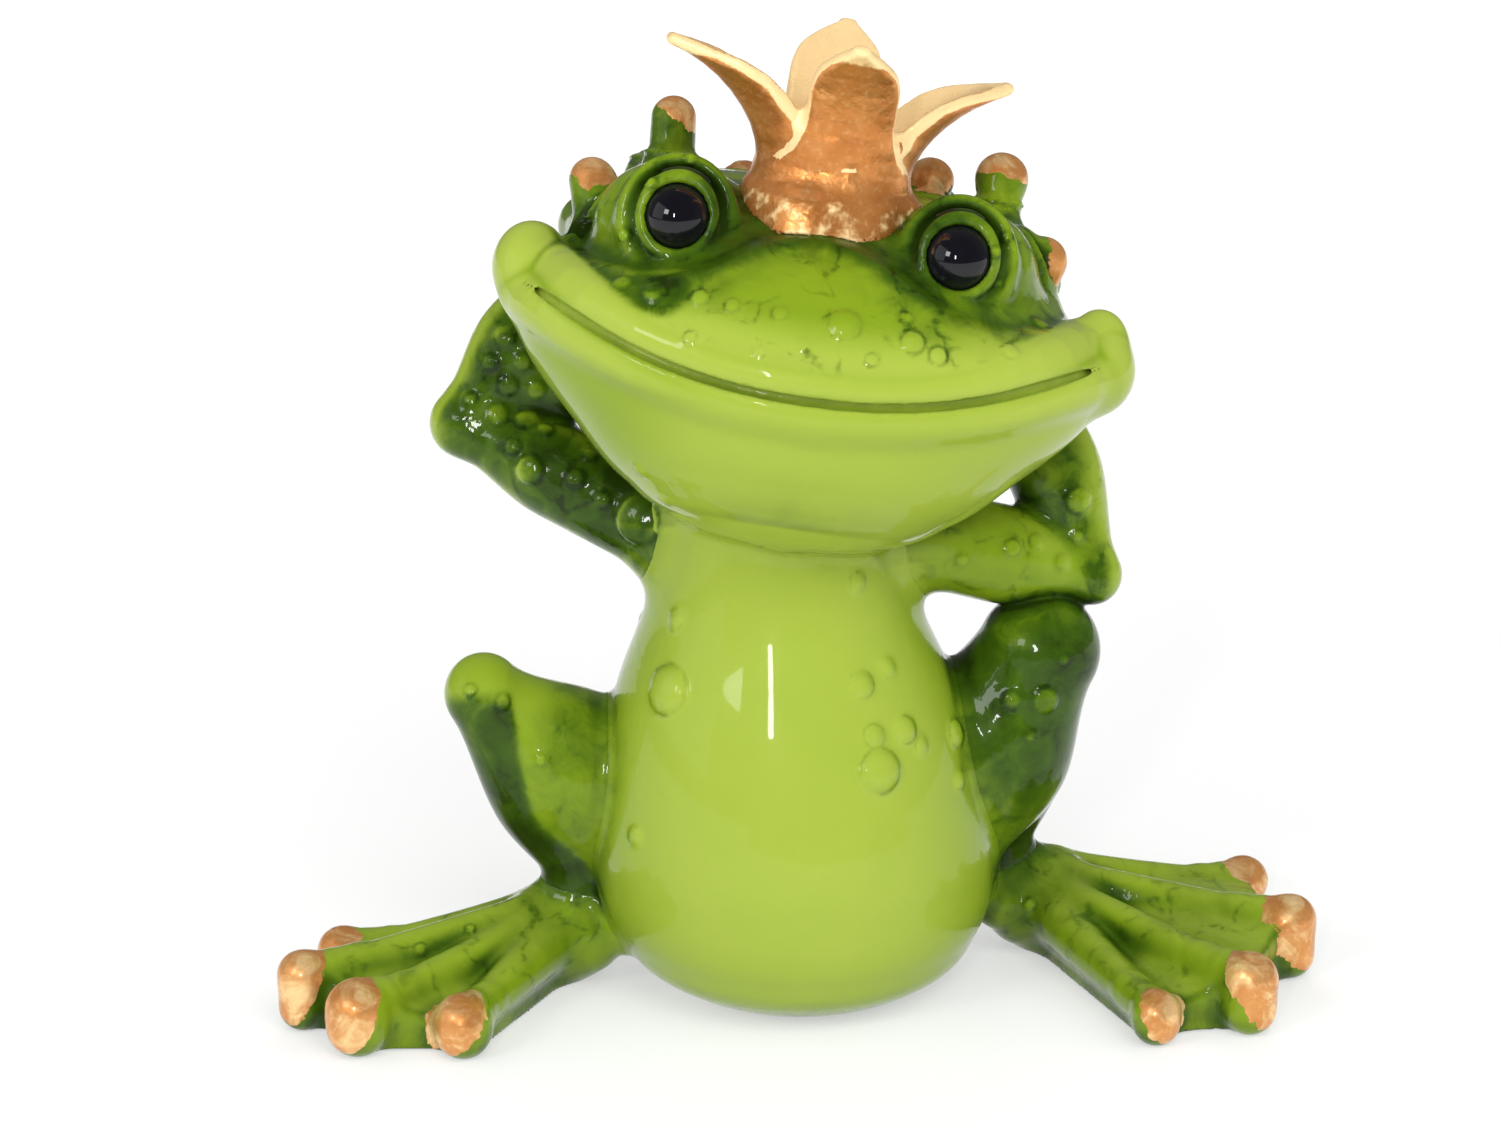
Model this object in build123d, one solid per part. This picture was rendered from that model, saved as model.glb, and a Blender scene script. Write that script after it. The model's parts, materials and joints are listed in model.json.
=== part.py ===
from build123d import *
import math
import os

# Seated frog king figurine, cast in resin in several pieces that are pinned and glued.
# Millimetres. +Z is up, the frog faces -Y, and +X is the frog's left side.
# The origin is the centre of the flat seat under the torso, on the surface it stands on.

os.makedirs("parts", exist_ok=True)

# Fits
glue_gap = 0.12
pin_clearance = 0.05
overrun = 4.0

# Torso: a pear standing on its flat seat, leaning a little to the frog's right at the neck
torso_height = 55.0
belly_radius = 22.0
seat_depth = 3.0
neck_stub = 1.0
neck_lean = 2.6
# Each row: height and radius; the rows climb the outline from where it meets the ground
torso_outline_shares = (
    (0.0, 0.55), (0.045, 0.765), (0.13, 0.925), (0.27, 1.0),
    (0.45, 0.945), (0.62, 0.835), (0.79, 0.665), (1.0, 0.555),
)

# Head: its frame sits at the middle of the line between the mouth corners
head_shift = 1.2
head_forward = 2.0
head_rise = 20.8
head_pitch = -18.0
head_roll = 8.5
jaw_depth = 25.0
brow_height = 15.0
mouth_half_width = 32.6
snout_length = 24.2
skull_length = 16.8
# Each row: height (of the jaw depth below the mouth line, of the brow height above it), half width,
# front and back, as shares of the sizes above
head_section_shares = (
    (-1.0, 0.14, 0.30, 0.36), (-0.95, 0.28, 0.52, 0.52), (-0.78, 0.515, 0.75, 0.66),
    (-0.56, 0.72, 0.91, 0.78), (-0.31, 0.91, 1.0, 0.89), (-0.11, 1.0, 0.97, 0.95),
    (0.08, 0.96, 0.87, 0.98), (0.33, 0.86, 0.73, 1.0), (0.57, 0.775, 0.59, 0.99),
    (0.75, 0.69, 0.37, 0.93), (0.88, 0.58, 0.12, 0.83), (0.96, 0.42, -0.06, 0.68),
    (1.0, 0.20, -0.17, 0.50),
)

# Mouth: a groove along a shallow arc, between raised lips that swell at the corners
mouth_sag = 9.4
mouth_corner_drop = 0.5
mouth_groove_half_width = 30.8
mouth_gap = 0.9
mouth_depth = 1.5
lip_height = 5.2
lip_relief = 0.7
lip_corner_radius = 4.4
lip_corner_setback = 2.4
lip_corner_forward = 3.0
lip_corner_rise = 0.4

# Eyes: black beads in ringed sockets on two mounds
eye_radius = 3.5
eye_half_spacing = 14.3
eye_shift = -0.7
eye_height = 6.9
eye_forward = 14.4
eyelid_ring_radius = 4.2
eyelid_thickness = 1.25
mound_radius = 9.0
mound_setback = 8.0

# Crown: a flared collar with four petals that curl outward
crown_shift = -0.4
crown_forward = 6.3
crown_height = 11.9
crown_tilt = 12.0
collar_radius = 8.7
collar_waist_radius = 7.3
collar_waist_height = 3.6
collar_height = 7.0
collar_top_radius = 8.2
collar_skirt = 4.5
collar_wall = 1.7
petal_root_height = 4.0
petal_thickness = 2.1
petal_tip_thickness = 1.5
broad_petal_width = 10.6
broad_petal_start_angle = 8.0
slim_petal_width = 8.4
slim_petal_start_angle = 28.0
front_petal_reach = 14.0
front_petal_height = 16.2
back_petal_reach = 14.0
back_petal_height = 16.8
left_petal_reach = 16.6
left_petal_height = 14.9
right_petal_reach = 18.4
right_petal_height = 14.2
# Each row: place along the petal and width
petal_width_shares = ((0.0, 1.0), (0.25, 0.93), (0.5, 0.90), (0.75, 0.80), (0.9, 0.60), (1.0, 0.34))

# Arms: each upper arm leaves the torso at the shoulder, each forearm ends at a hand on the head
right_shoulder_drop = 3.0
left_shoulder_drop = 4.4
shoulder_back = 1.4
shoulder_radius = 4.9
upper_arm_radius = 5.1
forearm_radius = 5.0
right_elbow_out = 20.4
right_elbow_back = 6.5
right_elbow_up = 9.2
right_elbow_radius = 3.0
left_elbow_out = 19.6
left_elbow_back = 2.6
left_elbow_down = 5.4
left_elbow_radius = 2.9
forearm_elbow_radius = 3.3
wrist_radius = 3.1
# Web of skin that fills the bend of the right arm, from its elbow towards the head
bend_middle_radius = 3.8
bend_end_radius = 4.4
bend_reach_share = 0.8
bend_wrist_share = 0.6

# Hands, in the head's frame: palms on the back of the head, fingers that reach round it
# Wrists and palms are set out by shares of the head's half width and in from its back
right_wrist_share = 0.779
right_wrist_inset = 2.4
right_wrist_up = 2.6
left_wrist_share = 0.644
left_wrist_inset = 1.2
left_wrist_up = -1.0
right_palm_share = 0.583
left_palm_share = 0.552
palm_inset = 1.4
palm_up = 7.0
palm_radius = 4.6
palm_middle_radius = 4.0
finger_length = 14.2
finger_root_radius = 2.2
finger_radius = 1.95
fingertip_radius = 2.5
# Each row: a fingertip out from, behind and above the palm, in finger lengths
right_finger_shares = (
    (-0.07, -0.56, 0.86), (0.44, -0.68, 0.32), (-0.64, -0.24, 0.62), (0.35, -0.18, -0.46),
)
left_finger_shares = (
    (-0.17, -0.56, 0.80), (0.43, -0.66, 0.27), (-0.53, -0.26, 0.66), (0.35, -0.18, -0.46),
)

# Legs: thigh from hip to knee, shin from knee to ankle, drawn up at each side of the belly
hip_height = 14.0
hip_back = 4.0
hip_inset = 6.5
hip_radius = 7.0
right_thigh_radius = 9.0
left_thigh_radius = 9.8
right_knee_radius = 4.2
left_knee_radius = 6.4
right_knee_out = 17.8
right_knee_forward = 7.0
right_knee_up = 21.0
left_knee_out = 10.9
left_knee_forward = 2.0
left_knee_below_elbow = 8.2
shin_knee_radius = 3.8
shin_radius = 5.5
ankle_radius = 3.0
ankle_rise = 5.4
right_ankle_inset = 1.0
left_ankle_inset = 2.8

# Feet: a hub beside the torso, four toes that fan out from it, and a web between them
right_foot_out = 3.7
right_foot_forward = 0.4
left_foot_out = 4.6
left_foot_back = 8.6
hub_height = 4.8
hub_radius = 5.4
toe_root_radius = 2.8
toe_middle_radius = 2.3
toe_tip_radius = 3.9
foot_length = 29.4
instep_height = 8.0
web_root_height = 7.6
web_root_share = 0.22
web_edge_height = 2.8
toe_lift_share = 0.86
web_reach_share = 0.86
toe_shift_share = 0.35
# Each row: length, the angle in degrees forward from straight out, tip radius and root height
right_toe_shares = (
    (0.83, -2.0, 0.69, 1.0), (1.0, 16.0, 0.84, 0.92), (0.96, 41.5, 1.0, 0.8), (0.76, 62.5, 0.82, 0.7),
)
left_toe_shares = (
    (0.95, -26.5, 0.79, 1.0), (1.0, 5.0, 0.94, 0.88), (1.05, 42.8, 0.97, 0.7), (1.03, 68.0, 0.79, 0.6),
)

# Steel wire pins inside the joints
thick_pin_radius = 1.5
thin_pin_radius = 1.0
neck_pin_back = 4.5
neck_pin_below = 7.0
neck_pin_above = 9.0
shoulder_pin_reach = 4.5
hip_pin_offset = 9.0
hip_pin_reach = 5.0
wrist_pin_reach = 3.6
ankle_pin_reach = 3.8

limb_middle_share = 0.5
RIGHT = -1
LEFT = 1

head_frame = Location(
    (head_shift, -head_forward, torso_height + head_rise), (head_pitch, head_roll, 0)
)
crown_frame = head_frame * Location((crown_shift, -crown_forward, crown_height), (crown_tilt, 0, 0))


def on_head(x, y, z):
    """Point of the head's frame, in the figure's frame."""
    return (head_frame * Pos(x, y, z)).position


def limb(start, end, start_radius, middle_radius, end_radius):
    """Round-ended muscle shape between two points, swelling or narrowing in the middle."""
    length = (end - start).length
    side = Spline(
        (start_radius, 0), (middle_radius, length * limb_middle_share), (end_radius, length),
        tangents=((0, 1), (0, 1)),
    )
    profile = [
        CenterArc((0, 0), start_radius, -90, 90),
        side,
        CenterArc((0, length), end_radius, 0, 90),
        Line((0, length + end_radius), (0, -start_radius)),
    ]
    solid = revolve(make_face(profile), Axis.Y, 360)
    return Plane(origin=start, z_dir=end - start) * Rot(90, 0, 0) * solid


def pin(centre, direction, radius, reach_back, reach_on):
    """Round pin along a direction, reaching a set distance to each side of a point."""
    base = centre - direction * reach_back
    length = reach_back + reach_on
    return Plane(origin=base, z_dir=direction) * Pos(0, 0, length / 2) * Cylinder(radius, length)


def torso_axis(height):
    """Centre of the torso at a height, on its leaning axis."""
    return -neck_lean * height / torso_height


def torso_radius(height):
    """Radius of the torso at a height, between the points of its outline."""
    share = height / torso_height
    for (low, low_radius), (high, high_radius) in zip(torso_outline_shares, torso_outline_shares[1:]):
        if share <= high:
            blend = (share - low) / (high - low)
            return belly_radius * (low_radius + (high_radius - low_radius) * blend)
    return belly_radius * torso_outline_shares[-1][1]


def torso_form(extra=0):
    """Outer form of the torso, grown by an extra thickness and cut flat where it stands."""
    points = [(belly_radius * wide + extra, torso_height * rise) for rise, wide in torso_outline_shares]
    neck = points[-1]
    top = torso_height + neck_stub + extra
    side = Spline((0, -seat_depth - extra), *points, tangents=((1, 0), (0, 1)))
    profile = [
        side,
        Polyline(neck, (neck[0], top), (0, top), (0, -seat_depth - extra)),
    ]
    pear = revolve(make_face(profile), Axis.Y, 360)
    lean = math.degrees(math.atan2(neck_lean, torso_height))
    floor = Pos(0, 0, -belly_radius) * Box(
        belly_radius * 3, belly_radius * 3, belly_radius * 2
    )
    return Rot(0, -lean, 0) * Rot(90, 0, 0) * pear - floor


def skull_form(extra=0):
    """Plain form of the head without its details, grown by an extra thickness."""
    sections = []
    last = len(head_section_shares) - 1
    for index, (rise, width, front, back) in enumerate(head_section_shares):
        height = rise * (jaw_depth if rise < 0 else brow_height)
        grown = height - extra if index == 0 else height + extra if index == last else height
        front_y = -snout_length * front
        back_y = skull_length * back
        ellipse = Ellipse(mouth_half_width * width + extra, (back_y - front_y) / 2 + extra)
        sections.append(Pos(0, (front_y + back_y) / 2, grown) * ellipse)
    return loft(sections)


def mouth_band(height, corner):
    """Curved slab along the mouth line, from corner to corner, in front of the head's middle."""
    fall = mouth_sag * (corner / mouth_groove_half_width) ** 2 - mouth_sag
    top = height / 2 - mouth_corner_drop
    bottom = -height / 2 - mouth_corner_drop
    outline = [
        ThreePointArc((-corner, top + fall), (0, top - mouth_sag), (corner, top + fall)),
        Line((corner, top + fall), (corner, bottom + fall)),
        ThreePointArc((corner, bottom + fall), (0, bottom - mouth_sag), (-corner, bottom + fall)),
        Line((-corner, bottom + fall), (-corner, top + fall)),
    ]
    return extrude(Plane.XZ * make_face(outline), snout_length + overrun)


def eye_place(side):
    """Centre of an eye bead in the head's frame."""
    return Pos(eye_shift + side * eye_half_spacing, -eye_forward, eye_height)


def head_mass(extra=0):
    """The skull with its eye mounds and lip corners, grown by an extra thickness."""
    mass = skull_form(extra)
    for side in (RIGHT, LEFT):
        mass += eye_place(side) * Pos(0, mound_setback, 0) * Sphere(mound_radius + extra)
        corner = (side * (mouth_half_width - lip_corner_setback), -lip_corner_forward, lip_corner_rise)
        mass += Pos(corner) * Sphere(lip_corner_radius + extra)
    return mass


def head_solid():
    """The head casting in its own frame, before it is cut for its neighbours."""
    head = head_mass()
    head += mouth_band(lip_height, mouth_half_width) & skull_form(lip_relief)
    for side in (RIGHT, LEFT):
        head += eye_place(side) * Rot(90, 0, 0) * Torus(eyelid_ring_radius, eyelid_thickness)
        head -= eye_place(side) * Sphere(eye_radius + glue_gap)
    head -= mouth_band(mouth_gap, mouth_groove_half_width) - skull_form(-mouth_depth)
    return head


def eye_solid(side):
    """A black bead."""
    return head_frame * eye_place(side) * Sphere(eye_radius)


def collar_solid():
    """Flared collar of the crown, with a skirt that the head's top cuts to shape."""
    outline = [
        (collar_radius, -collar_skirt),
        (collar_radius, 0),
        (collar_waist_radius, collar_waist_height),
        (collar_top_radius, collar_height),
    ]
    inner = [(radius - collar_wall, height) for radius, height in reversed(outline)]
    profile = Polyline(*outline, *inner, close=True)
    return revolve(Plane.XZ * make_face(profile), Axis.Z, 360)


def petal_solid(azimuth, reach, height, width, start_angle):
    """One petal: a leaf that leaves the collar at its start angle and curls outward on an arc."""
    root_radius = collar_waist_radius - collar_wall / 2
    rise = height - petal_root_height
    run = reach - root_radius
    start = math.radians(start_angle)
    sweep = 2 * (math.atan2(run, rise) - start)
    bend = math.hypot(run, rise) / (2 * math.sin(sweep / 2))
    sections = []
    for along, wide in petal_width_shares:
        angle = start + sweep * along
        radius = root_radius + bend * (math.cos(start) - math.cos(angle))
        level = petal_root_height + bend * (math.sin(angle) - math.sin(start))
        thickness = petal_thickness + (petal_tip_thickness - petal_thickness) * along
        place = Plane(
            origin=(radius, 0, level), x_dir=(0, 1, 0), z_dir=(math.sin(angle), 0, math.cos(angle))
        )
        sections.append(place * Ellipse(width * wide / 2, thickness / 2))
    return Rot(0, 0, azimuth) * loft(sections)


def crown_solid():
    """Collar and four petals, fused, in the figure's frame."""
    broad = (broad_petal_width, broad_petal_start_angle)
    slim = (slim_petal_width, slim_petal_start_angle)
    crown = collar_solid()
    crown += petal_solid(-90, front_petal_reach, front_petal_height, *broad)
    crown += petal_solid(90, back_petal_reach, back_petal_height, *broad)
    crown += petal_solid(0, left_petal_reach, left_petal_height, *slim)
    crown += petal_solid(180, right_petal_reach, right_petal_height, *slim)
    return crown_frame * crown


def shoulder(side):
    """Where an upper arm's line meets the torso's side."""
    height = torso_height - (right_shoulder_drop if side == RIGHT else left_shoulder_drop)
    reach = math.sqrt(torso_radius(height) ** 2 - shoulder_back ** 2)
    return Vector(torso_axis(height) + side * reach, shoulder_back, height)


def elbow(side):
    """Elbow, set out from the shoulder."""
    if side == RIGHT:
        return shoulder(side) + Vector(-right_elbow_out, right_elbow_back, right_elbow_up)
    return shoulder(side) + Vector(left_elbow_out, left_elbow_back, -left_elbow_down)


def wrist(side):
    """Wrist, behind the head."""
    if side == RIGHT:
        out = mouth_half_width * right_wrist_share
        return on_head(-out, skull_length - right_wrist_inset, right_wrist_up)
    out = mouth_half_width * left_wrist_share
    return on_head(out, skull_length - left_wrist_inset, left_wrist_up)


def palm(side):
    """Middle of the palm, on the back of the head, in the head's frame."""
    share = right_palm_share if side == RIGHT else left_palm_share
    return Vector(side * mouth_half_width * share, skull_length - palm_inset, palm_up)


def bend_end():
    """Where the skin in the right arm's bend ends, between the shoulder and the wrist."""
    across = shoulder(RIGHT) * (1 - bend_wrist_share) + wrist(RIGHT) * bend_wrist_share
    return elbow(RIGHT) + (across - elbow(RIGHT)) * bend_reach_share


def arm_form(side, extra=0):
    """Upper arm and forearm, grown by an extra thickness."""
    elbow_radius = right_elbow_radius if side == RIGHT else left_elbow_radius
    upper = limb(
        shoulder(side), elbow(side), shoulder_radius + extra, upper_arm_radius + extra,
        elbow_radius + extra,
    )
    lower = limb(
        elbow(side), wrist(side), forearm_elbow_radius + extra, forearm_radius + extra,
        wrist_radius + extra,
    )
    if side == LEFT:
        return upper + lower
    bend = limb(
        elbow(side), bend_end(), elbow_radius + extra, bend_middle_radius + extra,
        bend_end_radius + extra,
    )
    return upper + lower + bend


def hand_form(side):
    """Palm and four fingers that reach round the back of the head."""
    centre = palm(side)
    middle = on_head(centre.X, centre.Y, centre.Z)
    line = (middle - wrist(side)).normalized()
    heel = wrist(side) + line * wrist_radius
    hand = limb(heel, middle, wrist_radius, palm_middle_radius, palm_radius)
    for out, back, up in right_finger_shares if side == RIGHT else left_finger_shares:
        tip = on_head(
            centre.X + side * out * finger_length, centre.Y + back * finger_length,
            centre.Z + up * finger_length,
        )
        hand += limb(middle, tip, finger_root_radius, finger_radius, fingertip_radius)
    return hand


def hip(side):
    """Hip, inside the side of the belly."""
    reach = torso_radius(hip_height) - hip_inset
    return Vector(torso_axis(hip_height) + side * reach, hip_back, hip_height)


def knee(side):
    """Knee, set out from the hip; the left one is under the elbow that rests on it."""
    if side == RIGHT:
        return hip(side) + Vector(-right_knee_out, -right_knee_forward, right_knee_up)
    rise = elbow(side).Z - left_knee_below_elbow - hip_height
    return hip(side) + Vector(left_knee_out, -left_knee_forward, rise)


def hub(side):
    """Middle of the foot's hub, beside the torso's seat."""
    if side == RIGHT:
        return Vector(-belly_radius - right_foot_out, -right_foot_forward, hub_height)
    return Vector(belly_radius + left_foot_out, left_foot_back, hub_height)


def ankle(side):
    """Ankle, above the foot's hub."""
    inset = right_ankle_inset if side == RIGHT else left_ankle_inset
    return hub(side) + Vector(-side * inset, 0, ankle_rise)


def leg_form(side, extra=0):
    """Thigh and shin, grown by an extra thickness."""
    thigh_radius = right_thigh_radius if side == RIGHT else left_thigh_radius
    knee_radius = right_knee_radius if side == RIGHT else left_knee_radius
    thigh = limb(
        hip(side), knee(side), hip_radius + extra, thigh_radius + extra, knee_radius + extra
    )
    shin = limb(
        knee(side), ankle(side), shin_knee_radius + extra, shin_radius + extra, ankle_radius + extra
    )
    return thigh + shin


def toe_vector(side, length_share, angle):
    """Level vector from the hub towards a toe's tip."""
    turn = math.radians(angle)
    length = foot_length * length_share
    return Vector(side * length * math.cos(turn), -length * math.sin(turn), 0)


def web_form(ground, rim):
    """Web between the toes: level at its edge, sloping up to a small top near the hub."""
    up = Vector(0, 0, 1)
    top = [ground + (point - ground) * web_root_share + up * web_root_height for point in rim]
    edge = [point + up * web_edge_height for point in rim]
    plate = extrude(make_face(Polyline(*rim, close=True)), web_edge_height, dir=(0, 0, 1))
    slope = [make_face(Polyline(*outline, close=True)) for outline in (edge, top)]
    return plate + loft(slope, ruled=True)


def foot_form(side):
    """Hub, toes and web, cut flat where the foot stands."""
    toes = right_toe_shares if side == RIGHT else left_toe_shares
    centre = hub(side)
    ground = Vector(centre.X, centre.Y, 0)
    foot = Pos(centre) * Sphere(hub_radius)
    rim = [ground - toe_vector(side, toe_shift_share * hub_radius / foot_length, toes[0][1])]
    for length_share, angle, radius_share, root_share in toes:
        reach = toe_vector(side, length_share, angle)
        root = ground + Vector(0, 0, instep_height * root_share)
        tip_radius = toe_tip_radius * radius_share
        tip = ground + reach + Vector(0, 0, tip_radius * toe_lift_share)
        foot += limb(root, tip, toe_root_radius, toe_middle_radius, tip_radius)
        rim.append(ground + reach * web_reach_share)
    foot += web_form(ground, rim)
    floor = Pos(centre.X, centre.Y, -overrun) * Box(
        foot_length * 3, foot_length * 3, overrun * 2
    )
    return foot - floor


def pin_lines():
    """Name, centre, direction, radius and reach to each side of every pin."""
    up = Vector(0, 0, 1)
    neck_height = torso_height
    neck = Vector(torso_axis(neck_height), neck_pin_back, neck_height)
    lines = [("neck_dowel", neck, up, thick_pin_radius, neck_pin_below, neck_pin_above)]
    for side, name in ((RIGHT, "right"), (LEFT, "left")):
        arm_line = (elbow(side) - shoulder(side)).normalized()
        lines.append(
            (f"shoulder_dowel_{name}", shoulder(side), arm_line, thin_pin_radius,
             shoulder_pin_reach, shoulder_pin_reach)
        )
        centre = palm(side)
        hand_line = (on_head(centre.X, centre.Y, centre.Z) - wrist(side)).normalized()
        lines.append(
            (f"wrist_dowel_{name}", wrist(side) + hand_line * wrist_radius, hand_line,
             thin_pin_radius, wrist_pin_reach, wrist_pin_reach)
        )
        thigh_line = (knee(side) - hip(side)).normalized()
        lines.append(
            (f"hip_dowel_{name}", hip(side) + thigh_line * hip_pin_offset, thigh_line,
             thick_pin_radius, hip_pin_reach, hip_pin_reach)
        )
        lines.append(
            (f"ankle_dowel_{name}", ankle(side) - up * ankle_radius, up, thin_pin_radius,
             ankle_pin_reach, ankle_pin_reach)
        )
    return lines


def bore(line):
    """Hole for a pin: the pin grown by its clearance."""
    name, centre, direction, radius, reach_back, reach_on = line
    return pin(
        centre, direction, radius + pin_clearance, reach_back + pin_clearance,
        reach_on + pin_clearance,
    )


def build():
    """Every piece of the figure by its name."""
    head_guard = head_frame * head_mass(glue_gap)
    torso_guard = torso_form(glue_gap)
    pieces = {
        "torso": torso_form() - head_guard,
        "head": head_frame * head_solid(),
        "crown": crown_solid() - head_guard,
        "eye_left": eye_solid(LEFT),
        "eye_right": eye_solid(RIGHT),
    }
    for side, name in ((RIGHT, "right"), (LEFT, "left")):
        leg_guard = leg_form(side, glue_gap)
        arm_guard = arm_form(side, glue_gap)
        pieces[f"arm_{name}"] = arm_form(side) - torso_guard - head_guard - leg_guard
        pieces[f"hand_{name}"] = hand_form(side) - head_guard - arm_guard
        pieces[f"leg_{name}"] = leg_form(side) - torso_guard
        pieces[f"foot_{name}"] = foot_form(side) - torso_guard - leg_guard
    for line in pin_lines():
        hole = bore(line)
        for name in pieces:
            if name.split("_")[0] in joined_by(line[0]):
                pieces[name] -= hole
    for line in pin_lines():
        pieces[line[0]] = pin(*line[1:])
    return pieces


def joined_by(pin_name):
    """Kinds of casting that a pin enters."""
    pairs = {
        "neck": ("torso", "head"), "shoulder": ("torso", "arm"), "wrist": ("arm", "hand"),
        "hip": ("torso", "leg"), "ankle": ("leg", "foot"),
    }
    return pairs[pin_name.split("_")[0]]


for piece_name, piece in build().items():
    export_step(piece, os.path.join("parts", piece_name + ".step"))
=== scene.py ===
import json
import math
from collections import namedtuple
from functools import partial
import bpy
import numpy as np
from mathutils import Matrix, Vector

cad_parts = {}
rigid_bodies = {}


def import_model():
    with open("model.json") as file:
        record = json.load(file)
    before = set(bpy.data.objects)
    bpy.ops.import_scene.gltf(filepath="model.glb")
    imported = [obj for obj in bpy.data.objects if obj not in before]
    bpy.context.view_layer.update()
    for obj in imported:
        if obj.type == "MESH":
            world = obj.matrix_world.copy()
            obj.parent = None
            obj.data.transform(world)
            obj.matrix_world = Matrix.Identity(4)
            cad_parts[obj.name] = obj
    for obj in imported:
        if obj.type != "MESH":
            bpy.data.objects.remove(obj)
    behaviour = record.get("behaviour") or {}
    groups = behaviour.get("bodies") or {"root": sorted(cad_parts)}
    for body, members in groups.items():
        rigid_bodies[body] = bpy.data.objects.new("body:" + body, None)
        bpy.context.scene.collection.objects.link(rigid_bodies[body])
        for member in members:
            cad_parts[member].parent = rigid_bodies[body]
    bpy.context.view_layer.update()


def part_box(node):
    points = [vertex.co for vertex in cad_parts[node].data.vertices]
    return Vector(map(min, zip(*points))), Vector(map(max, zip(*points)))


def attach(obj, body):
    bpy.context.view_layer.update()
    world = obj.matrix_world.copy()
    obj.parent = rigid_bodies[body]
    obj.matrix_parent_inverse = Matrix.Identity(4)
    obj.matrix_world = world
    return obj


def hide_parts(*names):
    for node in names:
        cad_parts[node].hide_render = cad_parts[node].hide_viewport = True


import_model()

# Seated frog king figurine: each casting is a distance field in millimetres, meshed here,
# and painted by node materials that read fields stored on its vertices.
# The frog faces -Y, +X is its left side, and the seat is at the origin.
MM = 0.001
RIGHT = -1
LEFT = 1
SIDES = ((RIGHT, "right"), (LEFT, "left"))
FAR = 50.0
TINY = 1e-6

# Mesh steps, and how the space round a piece is sampled
STEPS = {"head": 0.36, "torso": 0.45, "crown": 0.3}
LIMB_STEP = 0.38
BLOCK = 6
BLOCK_REACH = 1.5
CHUNK = 150000
SLOPE_REACH = 0.06
SETTLE_ROUNDS = 2
SETTLE_SHARE = 0.4
LEAST_SLOPE = 0.25
BOX_MARGIN = {"hand_right": 8.0, "hand_left": 8.0, "foot_right": 5.0, "foot_left": 5.0}
PLAIN_MARGIN = 3.0

# Photograph's camera
PHOTO_WIDTH = 1500
PHOTO_HEIGHT = 1126
CAMERA_RISE = math.radians(18)
CAMERA_PLACE = np.array([-5.55, -456.5, 196.07])
CAMERA_LENS = 106.96
CAMERA_CLIP = 0.01
SENSOR_WIDTH = 36.0

# Head frame: the middle of the line between the mouth corners
HEAD_ORIGIN = np.array([1.2, -2.0, 75.8])
HEAD_PITCH = math.radians(-18)
HEAD_ROLL = math.radians(8.5)


def turn_x(angle):
    c, s = math.cos(angle), math.sin(angle)
    return np.array([[1, 0, 0], [0, c, -s], [0, s, c]])


def turn_y(angle):
    c, s = math.cos(angle), math.sin(angle)
    return np.array([[c, 0, s], [0, 1, 0], [-s, 0, c]])


HEAD_TURN = turn_x(HEAD_PITCH) @ turn_y(HEAD_ROLL)


def to_head(points):
    return (points - HEAD_ORIGIN) @ HEAD_TURN


def from_head(x, y, z):
    return HEAD_ORIGIN + HEAD_TURN @ np.array([x, y, z], float)


# Field helpers
def union(a, b, blend):
    near = np.maximum(blend - np.abs(a - b), 0) / blend
    return np.minimum(a, b) - near * near * blend / 4


def meet(a, b, blend):
    return -union(-a, -b, blend)


def cut(a, b, blend):
    return -union(-a, b, blend)


def ramp(value, low, high):
    share = np.clip((value - low) / (high - low), 0, 1)
    return share * share * (3 - 2 * share)


def length(vectors):
    return np.sqrt((vectors * vectors).sum(-1))


def table(value, rows, column):
    """Smooth value of a table's column, by the table's first column."""
    places = [row[0] for row in rows]
    values = [row[column] for row in rows]
    slopes = np.gradient(values, places)
    value = np.clip(value, places[0], places[-1])
    index = np.clip(np.searchsorted(places, value) - 1, 0, len(rows) - 2)
    start = np.take(places, index)
    span = np.take(places, index + 1) - start
    t = (value - start) / span
    a, b = np.take(values, index), np.take(values, index + 1)
    ma, mb = np.take(slopes, index) * span, np.take(slopes, index + 1) * span
    return (
        a * (2 * t ** 3 - 3 * t ** 2 + 1) + b * (3 * t ** 2 - 2 * t ** 3)
        + ma * (t ** 3 - 2 * t ** 2 + t) + mb * (t ** 3 - t ** 2)
    )


def along_axis(points, start, end):
    """Share of the way from start to end that is nearest to each point, and the distance there."""
    axis = end - start
    share = np.clip(((points - start) @ axis) / np.maximum(axis @ axis, TINY), 0, 1)
    return share, length(points - start - share[:, None] * axis)


def sphere(points, centre, radius):
    return length(points - centre) - radius


def ellipsoid(points, centre, radii):
    scaled = (points - centre) / radii
    outer = length(scaled)
    inner = length(scaled / radii)
    return outer * (outer - 1) / np.maximum(inner, TINY)


def limb(points, start, end, start_radius, middle_radius, end_radius):
    """Round-ended muscle between two points, with its own middle radius."""
    share, away = along_axis(points, np.asarray(start, float), np.asarray(end, float))
    first = start_radius + (middle_radius - start_radius) * ramp(share, 0, 0.5)
    return away - first - (end_radius - middle_radius) * ramp(share, 0.5, 1)


def tube(points, centres, radii):
    """Tube through a list of centres, each with its radius."""
    best = np.full(len(points), FAR)
    for a, b, ra, rb in zip(centres[:-1], centres[1:], radii[:-1], radii[1:]):
        share, away = along_axis(points, a, b)
        best = np.minimum(best, away - (ra + (rb - ra) * share))
    return best


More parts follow.
